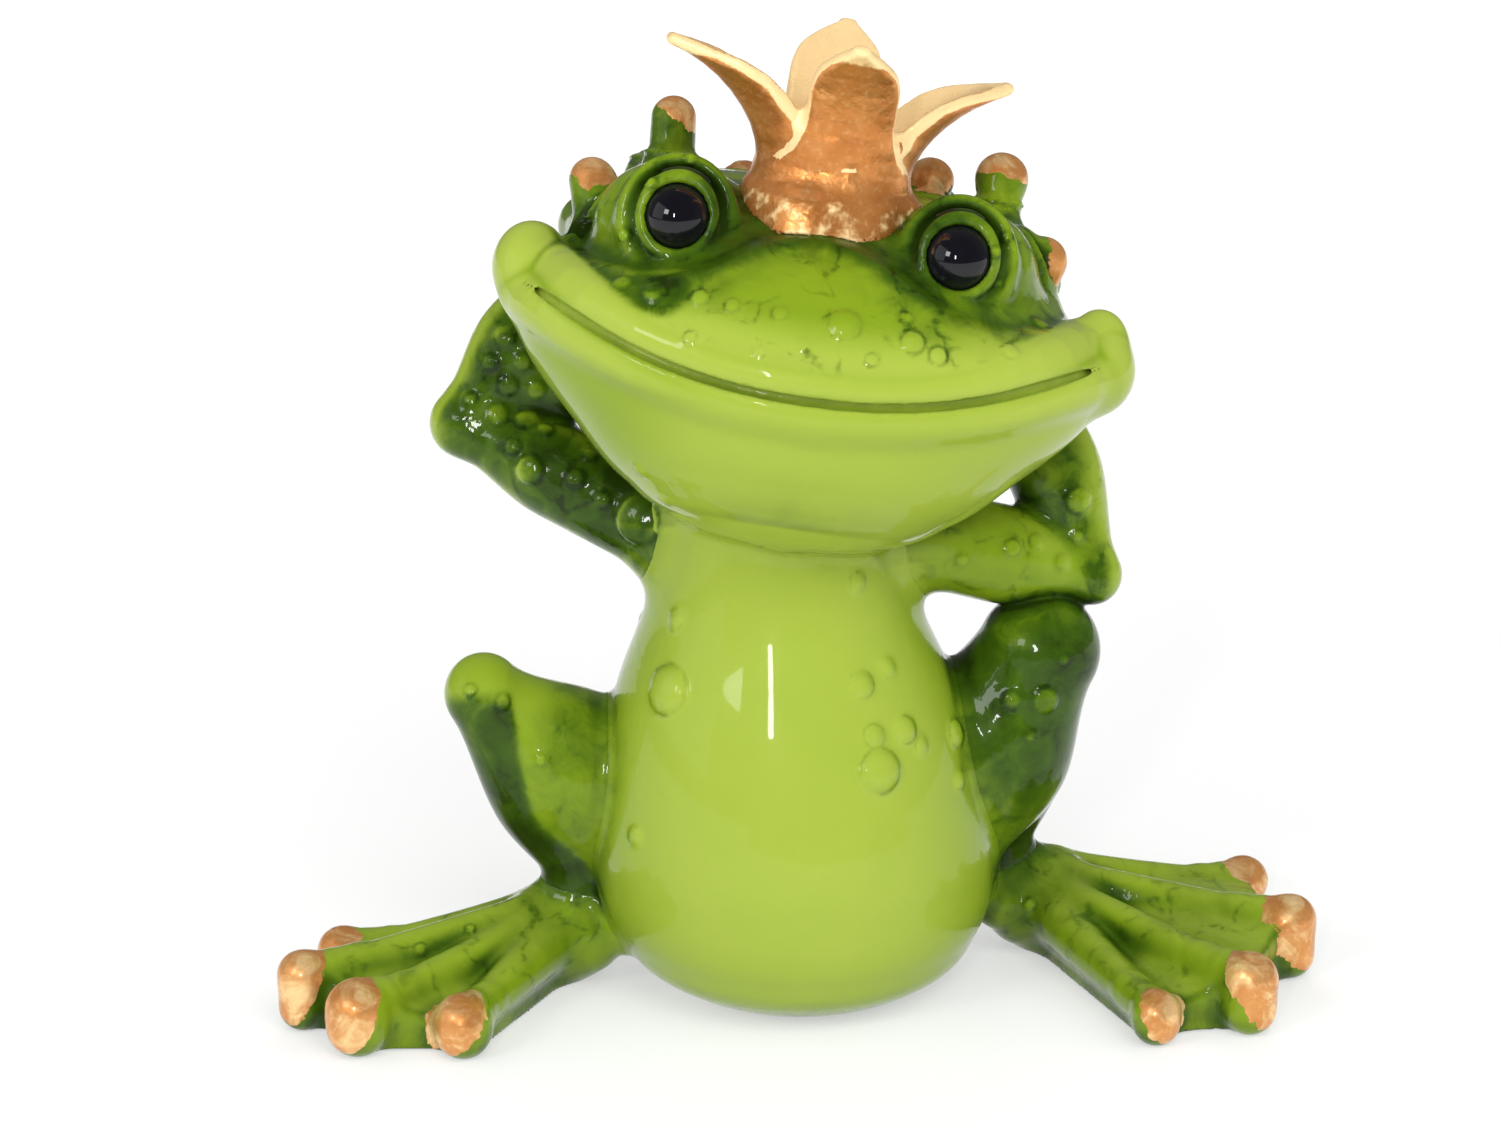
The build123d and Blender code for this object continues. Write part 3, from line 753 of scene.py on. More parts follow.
def droplet_places():
    """Centres, outward directions and radii of the droplets, seen and hidden."""
    centres, radii = (np.concatenate(pair) for pair in zip(seen_droplets(), hidden_droplets()))
    _, slopes = gradient(figure_field, centres)
    return centres, slopes / length(slopes)[:, None], radii


def drop_distance(points, centre, normal, radius):
    """Distance to one droplet's dome, flattened against the skin."""
    offset = points - centre
    rise = offset @ normal
    spread = length(offset - rise[:, None] * normal)
    return (np.hypot(spread, rise / DOME_SHARE) - radius) * DOME_SHARE


def with_droplets(field, points):
    for centre, normal, radius in zip(*drops):
        near = (np.abs(points - centre) < radius + DOME_REACH).all(1) & (np.abs(field) < DOME_DEPTH)
        if near.any():
            dome = drop_distance(points[near], centre, normal, radius)
            field[near] = union(field[near], dome, DOME_BLEND)
    return field


def piece_field(name):
    """A casting blended into its neighbours and cut off half way to them."""
    def field(points):
        own = FIELDS[name](points)
        whole = own
        nearest = np.full(len(points), FAR)
        for other, blend in neighbours(name):
            value = near_field(other, points, JOIN_REACH)
            whole = union(whole, value, blend)
            nearest = np.minimum(nearest, value)
        whole = with_droplets(whole, points)
        beyond = (own - nearest) / 2
        value = np.maximum(whole + SEAM_SINK * np.maximum(beyond, 0), beyond - SEAM_LAP)
        return np.maximum(value, -points[:, 2])
    return field


# Meshing
CORNERS = [(x, y, z) for x in (0, 1) for y in (0, 1) for z in (0, 1)]
EDGES = [
    (a, b) for a in CORNERS for b in CORNERS
    if sum(b) - sum(a) == 1 and all(j >= i for i, j in zip(a, b))
]


def in_chunks(field, points):
    parts = [field(points[i:i + CHUNK]) for i in range(0, len(points), CHUNK)]
    return np.concatenate(parts)


def sample(field, low, high, step):
    """Grid of field values, worked out only in blocks near the surface and closed at its ends."""
    blocks = np.ceil((high - low) / (step * BLOCK)).astype(int)
    where = np.indices(blocks).reshape(3, -1).T
    coarse = in_chunks(field, low + (where + 0.5) * BLOCK * step)
    near = np.abs(coarse) < BLOCK * step * BLOCK_REACH
    values = np.where(coarse < 0, -step, step).reshape(blocks)
    values = values.repeat(BLOCK, 0).repeat(BLOCK, 1).repeat(BLOCK, 2)
    offsets = np.indices((BLOCK,) * 3).reshape(3, -1).T
    cells = (where[near][:, None] * BLOCK + offsets[None]).reshape(-1, 3)
    values[tuple(cells.T)] = in_chunks(field, low + cells * step)
    for axis in range(3):
        for end in (0, -1):
            layer = np.moveaxis(values, axis, 0)
            layer[end] = np.maximum(layer[end], step)
    return values


def net_vertices(values, cells):
    """Middle of the surface's crossings with each cell's edges, in cells."""
    total = np.zeros((len(cells), 3))
    hits = np.zeros(len(cells))
    for a, b in EDGES:
        va = values[tuple((cells + a).T)]
        vb = values[tuple((cells + b).T)]
        crosses = (va < 0) != (vb < 0)
        t = np.where(crosses, va / np.where(crosses, va - vb, 1), 0)
        point = np.array(a) + t[:, None] * (np.array(b) - np.array(a))
        total += point * crosses[:, None]
        hits += crosses
    return cells + total / hits[:, None]


def net_quads(inside, number, axis):
    """Quads across the grid's edges along one axis, turned to face outward."""
    shift = [int(other == axis) for other in range(3)]
    n = [size - s for size, s in zip(inside.shape, shift)]
    first = inside[:n[0], :n[1], :n[2]]
    second = inside[shift[0]:, shift[1]:, shift[2]:]
    edge = np.argwhere(first != second)
    u, v = [other for other in range(3) if other != axis]
    edge = edge[(edge[:, u] > 0) & (edge[:, v] > 0)]
    entering = first[tuple(edge.T)]
    ring = []
    for du, dv in ((1, 1), (0, 1), (0, 0), (1, 0)):
        cell = edge.copy()
        cell[:, u] -= du
        cell[:, v] -= dv
        ring.append(number[tuple(cell.T)])
    ring = np.stack(ring, 1)
    turned = entering if axis == 1 else ~entering
    ring[turned] = ring[turned][:, ::-1]
    return ring


def surface_net(values, low, step):
    """Vertices and quads of the zero surface of a grid."""
    inside = values < 0
    cell_shape = np.array(inside.shape) - 1
    count = np.zeros(cell_shape, np.uint8)
    for corner in CORNERS:
        x, y, z = (slice(start, start + size) for start, size in zip(corner, cell_shape))
        count += inside[x, y, z]
    cells = np.argwhere((count > 0) & (count < len(CORNERS)))
    number = np.full(count.shape, -1)
    number[tuple(cells.T)] = np.arange(len(cells))
    quads = np.concatenate([net_quads(inside, number, axis) for axis in range(3)])
    return low + step * net_vertices(values, cells), quads


def gradient(field, points):
    base = in_chunks(field, points)
    parts = []
    for axis in range(3):
        moved = points.copy()
        moved[:, axis] += SLOPE_REACH
        parts.append((in_chunks(field, moved) - base) / SLOPE_REACH)
    return base, np.stack(parts, 1)


def settle(field, vertices, step):
    """Vertices moved onto the zero surface."""
    limit = SETTLE_SHARE * step
    for _ in range(SETTLE_ROUNDS):
        value, slope = gradient(field, vertices)
        size = np.maximum((slope * slope).sum(1), LEAST_SLOPE)
        vertices = vertices - slope * np.clip(value / size, -limit, limit)[:, None]
    return vertices


def add_object(name, data):
    made = bpy.data.objects.new(name, data)
    bpy.context.scene.collection.objects.link(made)
    return made


def add_mesh(name, field, node):
    """Mesh of a field's zero surface near a node's box, with its vertices and normals."""
    low, high = node_box(node)
    margin = BOX_MARGIN.get(node, PLAIN_MARGIN)
    step = STEPS.get(node, LIMB_STEP)
    low, high = low - margin, high + margin
    vertices, faces = surface_net(sample(field, low, high, step), low, step)
    vertices = settle(field, vertices, step)
    mesh = bpy.data.meshes.new(name)
    mesh.from_pydata((vertices * MM).tolist(), [], faces.tolist())
    mesh.validate()
    mesh.update()
    mesh.polygons.foreach_set("use_smooth", np.ones(len(mesh.polygons), bool))
    piece = add_object(name, mesh)
    normals = np.empty(len(mesh.vertices) * 3, np.float32)
    mesh.vertices.foreach_get("normal", normals)
    return piece, vertices, normals.reshape(-1, 3).astype(float)


# Paint: values stored on each piece's vertices for the materials. Pale mixes in the light green,
# and in places painted light; the dark value mixes in the dark greens and painted shade;
# veins the crackled lines, and gold is the distance inside a gilt cap.
BLENDED = ("pale", "wash", "veins")
PAINT_REACH = 7.0
PAINT_NEAR = 6.0
PAINT_FADE = 1.6
# Dark mottled cheek above the upper lip, from the mouth's corner towards the nose
CHEEK_LINE = np.array(
    [(-28.0, -8.0, 2.2), (-24.5, -15.0, -1.2), (-20.0, -18.5, -2.2), (-15.5, -20.5, -1.2)]
)
CHEEK_RADII = np.ones(len(CHEEK_LINE))
HEAD_DARK_AND_SHADE = {"plain": 0.1, "upper": 0.2, "crease_shade": 0.34, "cheek": 0.55, "brow_shade": 0.34}
BACK_WASH = 0.46
LID_WASH = 0.12
GROOVE_WASH = 0.45
GROOVE_INSET = 0.25
TORSO_DARK_AND_SHADE = {"plain": 0.05, "limb_shade": 0.14, "flank_shade": 0.08, "back": 0.36}
FOOT_OFFSET = 0.5
HAND_WASH = 0.46
TOE_GOLD = (0.66, -0.45, 0.5)
FINGER_CAP_SPAN = 0.01
FINGER_GOLD_DEPTH = -0.1
GOLD_MARGIN = 1.0
# Painted shade in hollows: how far they are felt for and what each reach counts, and how little of it is
# kept in the mouth
CAVITY_SHADE_REACHES = ((0.7, 0.55), (2.6, 0.6))
CROWN_SHADE_REACH = 2.0
MOUTH_SHADE_KEPT = 0.3
MOUTH_SHADE_FADE = (1.2, 3.0)
RING_GAP = 0.12
RING_WIDTH = 0.28
RING_WIDTH_SHARE = 0.06


def painted(points, pale=0.0, wash=0.0, veins=0.0, gold=-FAR):
    values = {"pale": pale, "wash": np.clip(wash, 0, 1), "veins": veins, "gold": gold}
    return {name: np.zeros(len(points)) + value for name, value in values.items()}


def skin_cavity_shade(points, normals, reach):
    """How hollow the skin is around each vertex, 0 where it is open, for the shade painted in hollows."""
    value = in_chunks(figure_field, points + normals * reach)
    return np.clip(1 - value / reach, 0, 1)


def dome_paint(points):
    """Where the droplets are, painted lighter as a highlight on their domes, and the dark rings round
    them.
    """
    inside = np.zeros(len(points))
    ring = np.zeros(len(points))
    for centre, _, radius in zip(*drops):
        away = length(points - centre)
        inside = np.maximum(inside, 1 - ramp(away, radius - 0.3, radius))
        width = RING_WIDTH + RING_WIDTH_SHARE * radius
        ring = np.maximum(ring, 1 - ramp(np.abs(away - radius - RING_GAP), 0.05, width))
    return inside, ring


def head_paint(points, normals):
    local = to_head(points)
    facing = -(normals @ HEAD_TURN)[:, 1]
    x, y, z = local.T
    front = ramp(facing, -0.35, 0.25)
    above_mouth = z - mouth_height(x)
    jaw = (1 - ramp(above_mouth, -0.5, 0.8)) * front
    lips = [tube(local, *lip) for lip in LIPS.values()]
    lips += [ellipsoid(local, LIP_CORNER[side], LIP_CORNER_RADII) for side in (RIGHT, LEFT)]
    lip = (1 - ramp(np.min(lips, axis=0), 0.1, 0.9)) * ramp(facing, -0.5, 0.1)
    crease = table(x, CREASE_ROWS, 1)
    upper = ramp(z - crease, -0.5, 1.0) * ramp(-y, 0, 5)
    rings = np.min([eye_ring(local, side, *LID) for side in (RIGHT, LEFT)], axis=0)
    cheek = 1 - ramp(tube(local, CHEEK_LINE, CHEEK_RADII), 0.2, 2.6)
    shares = {
        "plain": 1.0,
        "upper": upper,
        # Painted shade along the crease between the snout and the eyes.
        "crease_shade": (1 - ramp(np.abs(z - crease), 0.2, 2.4)) * ramp(-y, 4, 9),
        "cheek": cheek,
        # Painted shade under the brow, between the eyes.
        "brow_shade": (1 - ramp(crease - z, 1.0, 6.5)) * (1 - ramp(np.abs(x), 9, 17)) * ramp(-y, 8, 12),
    }
    wash = sum(HEAD_DARK_AND_SHADE[name] * share for name, share in shares.items())
    wash = np.maximum(wash, BACK_WASH * (1 - front)) + LID_WASH * (1 - ramp(rings, 0.05, 0.5))
    groove = 1 - ramp(tube(local, GROOVE, GROOVE_RADII - GROOVE_INSET), 0.05, 0.4)
    snout = ramp(above_mouth, 1, 4) * (1 - upper) * front
    low_snout = snout * (1 - ramp(above_mouth, 3.0, 9.5)) * (1 - cheek)
    # Pale jaw paint, made less pale towards the frog's right side: painted shade on that side.
    jaw_pale_and_side_shade = 0.72 * jaw * (1 - 0.75 * ramp(-x, 8, 20))
    light = np.maximum(np.maximum(jaw_pale_and_side_shade, lip), low_snout)
    return painted(
        points,
        pale=np.clip(light - 0.7 * groove, 0, 1),
        wash=np.maximum(wash * (1 - jaw) * (1 - lip), GROOVE_WASH * groove),
        veins=np.clip(snout + 0.7 * upper, 0, 1) * (1 - lip),
    )


def torso_paint(points, normals):
    # The pale belly paint is paler in the middle where it faces forward, a painted light; the flanks and
    # the skin next to the legs and feet are darker, painted shade.
    facing = -normals[:, 1] + 0.25 * normals[:, 2]
    front = ramp(facing, 0.05, 0.7)
    middle = ramp(facing, 0.45, 0.95)
    limbs = [leg_field(points, side) for side in (RIGHT, LEFT)]
    limbs += [foot_field(points, side) + FOOT_OFFSET for side in (RIGHT, LEFT)]
    limb_shade = 1 - ramp(np.min(limbs, axis=0), 0.5, 5.0)
    back = 1 - ramp(facing, -0.5, 0.3)
    shares = {"plain": 1.0, "limb_shade": limb_shade, "flank_shade": 1 - middle, "back": back}
    return painted(
        points,
        pale=(0.45 + 0.35 * middle) * front * (1 - 0.8 * limb_shade),
        wash=sum(TORSO_DARK_AND_SHADE[name] * share for name, share in shares.items()),
        veins=0.6 * (1 - front),
    )


def arm_paint(points, normals, side):
    facing = -normals[:, 1]
    # The outer sides of the arms are painted paler: a painted reflection along their edges.
    outer = ramp(side * normals[:, 0], 0.3, 0.9)
    if side == RIGHT:
        near_elbow = 1 - ramp(length(points - ELBOW[side]), 2, 9)
        wash = 0.24 + 0.55 * ramp(facing, 0.2, 0.8) - 0.24 * near_elbow - 0.3 * outer
    else:
        upper, lower = arm_parts(points, side)
        forearm = ramp(upper - lower, -1.5, 1.5)
        inner = np.clip(0.5 + 0.5 * facing, 0, 1)
        wash = 0.16 + 0.1 * inner + forearm * 0.3 * inner - 0.3 * outer
    return painted(points, pale=0.5 * outer, wash=wash, veins=0.8)


def tip_gold(points, low, high, outward, radius, depth=0.0):
    """How far inside the gold cap of a finger's or toe's tip each point is."""
    outward = np.array(outward) / np.linalg.norm(outward)
    _, away = along_axis(points, low, high)
    face = (points - (low + high) / 2) @ outward
    return np.minimum(face + depth * radius, radius + GOLD_MARGIN - away)


def hand_paint(points, _, side):
    local = to_head(points)
    caps = []
    for finger in FINGERS[side]:
        tip = np.array(finger.tip)
        low = tip - FINGER_CAP_SPAN
        caps.append(tip_gold(local, low, tip, finger.gold, finger.end, FINGER_GOLD_DEPTH))
    return painted(points, wash=HAND_WASH, veins=0.6, gold=np.max(caps, axis=0))


def leg_paint(points, normals, side):
    thigh, shin = leg_parts(points, side)
    knee = 1 - ramp(length(points - KNEE[side]), 4, 11)
    lower = ramp(thigh - shin, -0.25, 0.45) * ramp(KNEE[side][2] - points[:, 2], -2.5, 0.5)
    if side == RIGHT:
        wash = 0.36 - 0.26 * knee + 0.5 * lower
    else:
        wash = 0.72 + 0.3 * lower
    wash = wash + 0.2 * ramp(normals[:, 1], 0.2, 0.9)
    pale = 0.25 * knee if side == RIGHT else 0.0
    return painted(points, pale=pale, wash=wash, veins=0.35 - 0.15 * lower)


def foot_paint(points, normals, side):
    outward = np.array([side, 1, 1]) * TOE_GOLD
    caps = [tip_gold(points, *toe_tip(side, toe), outward, toe.radius) for toe in TOES[side]]
    return painted(
        points,
        # Upward faces of the feet are paler: a painted highlight on the ridge tops.
        pale=0.35 * ramp(normals[:, 2], 0.4, 0.95),
        wash=0.24 + 0.2 * ramp(-points[:, 2], -4, -1),
        veins=0.7,
        gold=np.max(caps, axis=0),
    )


PAINTS = by_casting(
    torso_paint, head_paint, arm=arm_paint, hand=hand_paint, leg=leg_paint, foot=foot_paint
)


def blended_paint(node, points, normals):
    """A casting's paint, faded into its neighbours' paint where they meet."""
    values = PAINTS[node](points, normals)
    total = np.ones(len(points))
    for other, _ in neighbours(node):
        away = near_field(other, points, PAINT_REACH)
        near = away < PAINT_NEAR
        share = np.exp(-np.maximum(away[near], 0) / PAINT_FADE)
        paint = PAINTS[other](points[near], normals[near])
        for key in BLENDED:
            values[key][near] += share * paint[key]
        total[near] += share
    for key in BLENDED:
        values[key] = values[key] / total
    return values


def mouth_shade_share(points):
    """Share of the painted hollow shade that is kept: little of it lies between the lips."""
    away = tube(to_head(points), GROOVE, np.zeros(MOUTH_POINTS))
    return MOUTH_SHADE_KEPT + (1 - MOUTH_SHADE_KEPT) * ramp(away, *MOUTH_SHADE_FADE)


def crown_paint(points, normals):
    """Painted highlights along the crown's rims, petal tips and skirt, and its inner faces, painted paler
    as light falling from above.
    """
    local = (points - CROWN_ORIGIN) @ CROWN_TURN
    turned = normals @ CROWN_TURN
    outward = local[:, :2] / np.maximum(np.hypot(local[:, 0], local[:, 1]), 0.1)[:, None]
    facing = (turned[:, :2] * outward).sum(1)
    rim = np.zeros(len(points))
    nearest = np.full(len(points), 1.6)
    for petal in PETALS:
        body, side, along, out = petal_parts(local, petal)
        mine = (np.abs(body) < nearest) & (out > 0) & (side < 0.6) & (local[:, 2] > 4)
        nearest = np.where(mine, np.abs(body), nearest)
        tip = 0.85 * ramp(along, 0.84, 0.95)
        rim = np.where(mine, np.maximum(ramp(side, -0.45, 0.0), tip), rim)
    skirt = 1 - ramp(local[:, 2], -0.3, 2.2)
    back = 0.65 + 0.35 * ramp(local[:, 1], 0, 5)
    inner = back * ramp(0.75 * turned[:, 2] - 0.65 * facing, -0.1, 0.4)
    return np.maximum(rim, 0.5 * skirt), inner


# Materials
def linear(red, green, blue):
    """Scene colour of a given colour, 0 to 255."""
    shares = (red / 255, green / 255, blue / 255)
    return tuple(v / 12.92 if v <= 0.04045 else ((v + 0.055) / 1.055) ** 2.4 for v in shares)


SKIN = linear(122, 148, 26)
PALE_SKIN = linear(156, 174, 66)
DEEP_SKIN = linear(56, 84, 10)
DARK_PAINT_AND_SHADE = linear(22, 36, 5)
GOLD = linear(226, 154, 86)
HIGHLIGHT_GOLD = linear(252, 218, 158)
DEEP_GOLD = linear(198, 124, 58)
BEAD = linear(10, 10, 14)
BEAD_CLOUD = linear(20, 19, 26)
STEEL = linear(168, 170, 172)
STEEL_GRAIN = linear(120, 122, 125)


class Graph:
    """A node tree, with short calls for the nodes that these materials use."""

    def __init__(self, tree, coordinates="Object"):
        self.nodes = tree.nodes
        self.links = tree.links
        self.place = self.nodes.new("ShaderNodeTexCoord").outputs[coordinates]

    def find(self, kind):
        return next(node for node in self.nodes if node.type == kind)

    def put(self, value, socket):
        if isinstance(value, bpy.types.NodeSocket):
            self.links.new(value, socket)
        elif isinstance(value, tuple) and socket.type == "RGBA":
            socket.default_value = (*value, 1)
        else:
            socket.default_value = value

    def node(self, kind, inputs, output=0, **settings):
        made = self.nodes.new("ShaderNode" + kind)
        for name, setting in settings.items():
            setattr(made, name, setting)
        for key, value in inputs.items():
            self.put(value, made.inputs[key])
        return made.outputs[output]

    def math(self, operation, *values, clamp=False):
        return self.node("Math", dict(enumerate(values)), operation=operation, use_clamp=clamp)

    def add(self, first, second, clamp=False):
        return self.math("ADD", first, second, clamp=clamp)

    def times(self, first, second):
        return self.math("MULTIPLY", first, second)

    def centred(self, value, scale=1.0):
        """A noise's 0 to 1 spread about nought."""
        return self.math("MULTIPLY_ADD", value, scale, -scale / 2)

    def span(self, value, from_low, from_high, to_low=0.0, to_high=1.0):
        inputs = {"Value": value, "From Min": from_low, "From Max": from_high}
        inputs.update({"To Min": to_low, "To Max": to_high})
        return self.node("MapRange", inputs, "Result", interpolation_type="SMOOTHSTEP")

    def mix(self, factor, first, second):
        return self.node("Mix", {0: factor, 6: first, 7: second}, 2, data_type="RGBA")

    def noise(self, scale, detail=3.0, roughness=0.5, distortion=0.0, output="Fac"):
        inputs = {"Vector": self.place, "Scale": scale, "Detail": detail}
        inputs.update({"Roughness": roughness, "Distortion": distortion})
        return self.node("TexNoise", inputs, output)

    def stored(self, name):
        return self.node("Attribute", {}, "Fac", attribute_name=name)

    def bump(self, height, strength, distance):
        inputs = {"Height": height, "Strength": strength, "Distance": distance}
        return self.node("Bump", inputs, "Normal")

    def finish(self, shader_values):
        shader = self.find("BSDF_PRINCIPLED")
        for name, value in shader_values.items():
            self.put(value, shader.inputs[name])


def new_material(name):
    made = bpy.data.materials.new(name)
    made.use_nodes = True
    return made, Graph(made.node_tree)


def gold_colour(g, edge):
    """Brushed-on gold: satin patches, with paler gold as a painted highlight where the edge value and the
    specks ask for it.
    """
    patch = g.span(g.noise(220, 4, 0.6), 0.34, 0.8)
    speck = g.noise(1500, 2, 0.6)
    mixed = g.mix(patch, DEEP_GOLD, GOLD)
    painted_highlight = g.add(g.times(g.span(speck, 0.5, 0.75), 0.2), edge, clamp=True)
    return g.mix(painted_highlight, mixed, HIGHLIGHT_GOLD), speck


def crackle(g, streak):
    """Thin dark lines between wobbly cells, where the paint is veined."""
    wobble = g.noise(230, output="Color")
    inputs = {0: wobble, 1: (0.006, 0.006, 0.006), 2: g.place}
    shifted = g.node("VectorMath", inputs, operation="MULTIPLY_ADD")
    cell = g.node("TexVoronoi", {"Vector": shifted, "Scale": 150}, "Distance", feature="DISTANCE_TO_EDGE")
    line = g.times(g.span(cell, 0.0, 0.09, 1.0, 0.0), g.stored("veins"))
    return g.times(line, g.span(streak, 0.46, 0.62))


def skin_material():
    made, g = new_material("painted_resin")
    streak = g.noise(260, 4, 0.6, 0.8)
    drift = g.centred(g.noise(75, 3, 0.55, 0.4))
    wash = g.stored("wash")
    blotch = g.times(drift, g.span(wash, 0.0, 0.5, 0.2, 1.0))
    mottle = g.times(g.centred(streak), g.span(wash, 0.1, 0.5, 0.1, 0.7))
    ring = g.times(g.stored("ring"), g.span(streak, 0.4, 0.62, 0.06, 0.26))
    line = g.times(crackle(g, streak), 0.22)
    # Painted shade: the skin's hollows are darkened by their cavity value.
    for term in (blotch, mottle, line, g.times(g.stored("cavity_shade"), 0.75), ring):
        wash = g.add(wash, term)
    # Droplets are painted lighter: a painted highlight on their domes.
    wash = g.math("SUBTRACT", wash, g.times(g.stored("droplet_highlight"), 0.16), clamp=True)
    pale = g.add(g.stored("pale"), g.times(drift, 0.3), clamp=True)
    colour = g.mix(pale, SKIN, PALE_SKIN)
    colour = g.mix(g.span(wash, 0.12, 0.72), colour, DEEP_SKIN)
    colour = g.mix(g.span(wash, 0.6, 1.15), colour, DARK_PAINT_AND_SHADE)
    # Paler gold patches on the gilt tips: painted highlights.
    gold, _ = gold_colour(g, g.span(streak, 0.45, 0.7, 0.1, 0.85))
    gilt = g.span(g.add(g.stored("gold"), g.centred(streak, 3.2)), -0.04, 0.10)
    height = g.add(g.times(streak, 0.5), g.times(g.noise(1900, 1, 0.5), 0.06))
    height = g.add(height, g.times(gilt, 0.35))
    ripple = g.times(g.noise(620, 2, 0.5, 0.3), g.stored("veins"))
    g.finish({
        "Base Color": g.mix(gilt, colour, gold),
        "Metallic": g.times(gilt, 0.55),
        "Roughness": g.span(gilt, 0, 1, 0.30, 0.38),
        "Coat Weight": g.span(gilt, 0, 1, 0.9, 0.8),
        "Coat Roughness": 0.04,
        "Coat IOR": 1.27,
        "Specular IOR Level": 0.06,
        "Normal": g.bump(height, 0.28, 0.0004),
        "Coat Normal": g.bump(ripple, 0.35, 0.0005),
    })
    return made


def crown_material():
    made, g = new_material("painted_gold")
    rag = g.noise(420, 3, 0.6)
    # Paler gold on rims, tips, skirt and upward inner faces: painted highlights and painted light from
    # above.
    edge = g.span(g.add(g.stored("edge"), g.centred(rag, 1.6)), 0.4, 0.75)
    edge = g.math("MAXIMUM", edge, g.times(g.stored("inner"), 0.95))
    colour, speck = gold_colour(g, edge)
    # Deep gold in the crown's hollows: painted shade.
    hollow_shade = g.span(g.stored("cavity_shade"), 0.4, 1.0, 0.0, 0.5)
    g.finish({
        "Base Color": g.mix(hollow_shade, colour, DEEP_GOLD),
        "Metallic": g.span(edge, 0, 1, 0.6, 0.25),
        "Roughness": g.span(rag, 0.3, 0.7, 0.26, 0.44),
        "Normal": g.bump(g.add(g.times(speck, 0.25), rag), 0.4, 0.0004),
    })
    return made


def bead_material():
    made, g = new_material("black_bead")
    g.finish({
        "Base Color": g.mix(g.noise(300, 2), BEAD, BEAD_CLOUD),
        "Roughness": 0.05,
        "Specular IOR Level": 0.1,
        "Coat Weight": 0.65,
        "Coat Roughness": 0.02,
    })
    return made


def steel_material():
    made, g = new_material("steel_wire")
    colour = g.mix(g.noise(2500, 2), STEEL, STEEL_GRAIN)
    g.finish({"Base Color": colour, "Metallic": 1.0, "Roughness": 0.35})
    return made


# Build the painted pieces
drops = droplet_places()
skin = skin_material()
gold_paint = crown_material()
bead = bead_material()
steel = steel_material()
BEAD_SEGMENTS = 64
BEAD_RINGS = 40


def finish_piece(piece, node, paint, values):
    for name, column in values.items():
        layer = piece.data.attributes.new(name, "FLOAT", "POINT")
        layer.data.foreach_set("value", np.ascontiguousarray(column, np.float32))
    piece.data.materials.append(paint)
    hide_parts(node)
    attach(piece, "root")


def add_casting(node):
    piece, vertices, normals = add_mesh("skin_" + node, piece_field(node), node)
    values = blended_paint(node, vertices, normals)
    hollow_shade = sum(share * skin_cavity_shade(vertices, normals, reach) for reach, share in CAVITY_SHADE_REACHES)
    values["cavity_shade"] = np.clip(hollow_shade, 0, 1) * mouth_shade_share(vertices)
    values["droplet_highlight"], values["ring"] = dome_paint(vertices)
    finish_piece(piece, node, skin, values)


def add_crown():
    piece, vertices, normals = add_mesh("gilt_crown", crown_field, "crown")
    away = in_chunks(crown_field, vertices + normals * CROWN_SHADE_REACH)
    edge, inner = crown_paint(vertices, normals)
    cavity_shade = np.clip(1 - away / CROWN_SHADE_REACH, 0, 1)
    values = {"edge": edge, "inner": inner, "cavity_shade": cavity_shade}
    finish_piece(piece, "crown", gold_paint, values)


def add_eye(side, name):
    bpy.ops.mesh.primitive_uv_sphere_add(
        segments=BEAD_SEGMENTS, ring_count=BEAD_RINGS, radius=EYE_RADIUS * MM
    )
    piece = bpy.context.object
    piece.name = "bead_" + name
    centre = from_head(*eye_place(side)) * MM
    for vertex in piece.data.vertices:
        vertex.co = vertex.co + type(vertex.co)(centre)
    for face in piece.data.polygons:
        face.use_smooth = True
    finish_piece(piece, "eye_" + name, bead, {})


for node in FIELDS:
    add_casting(node)
add_crown()
for side, name in SIDES:
    add_eye(side, name)

for dowel in bpy.data.objects:
    if "dowel" in dowel.name and dowel.type == "MESH":
        for slot in dowel.material_slots:
            slot.material = steel

# Stage: a pale floor that fades into the white backdrop away from the figure, both white to the
# camera and plainer as light
FLOOR_SIZE = 3.0
FLOOR_DROP = 0.0001
FLOOR_COLOUR = (0.92, 0.93, 0.92)
FLOOR_ROUGHNESS = 0.7
GLOW_STRENGTH = 1.1
GLOW_SHARES = (0.44, 1.0)
GLOW_FADE = (0.12, 0.42)
ROOM_AHEAD = (0, -0.88, 0.47)
ROOM_STRENGTHS = (0.15, 0.05)
ROOM_FADE = (-0.1, 0.75)
FILL_STRENGTH = (0.55, 0.55, 0.55)
WHITE = (1.0, 1.0, 1.0)
CAMERA_RAY, GLOSSY_RAY, CLEAR_RAY = "Is Camera Ray", "Is Glossy Ray", "Is Transmission Ray"


def add_floor():
    bpy.ops.mesh.primitive_plane_add(size=FLOOR_SIZE, location=(0, 0, -FLOOR_DROP))
    floor = bpy.context.object
    floor.name = "floor"
    made, g = new_material("floor_white")
    g.finish({"Base Color": FLOOR_COLOUR, "Roughness": FLOOR_ROUGHNESS})
    glow = g.node("Emission", {"Strength": GLOW_STRENGTH})
    path = g.nodes.new("ShaderNodeLightPath").outputs
    seen = g.add(g.add(path[CAMERA_RAY], path[GLOSSY_RAY], clamp=True), path[CLEAR_RAY], clamp=True)
    away = g.node("VectorMath", {0: g.place}, "Value", operation="LENGTH")
    share = g.times(seen, g.span(away, *GLOW_FADE, *GLOW_SHARES))
    surface = g.find("BSDF_PRINCIPLED").outputs[0]
    blend = g.node("MixShader", {0: share, 1: surface, 2: glow})
    g.put(blend, g.find("OUTPUT_MATERIAL").inputs["Surface"])
    floor.data.materials.append(made)


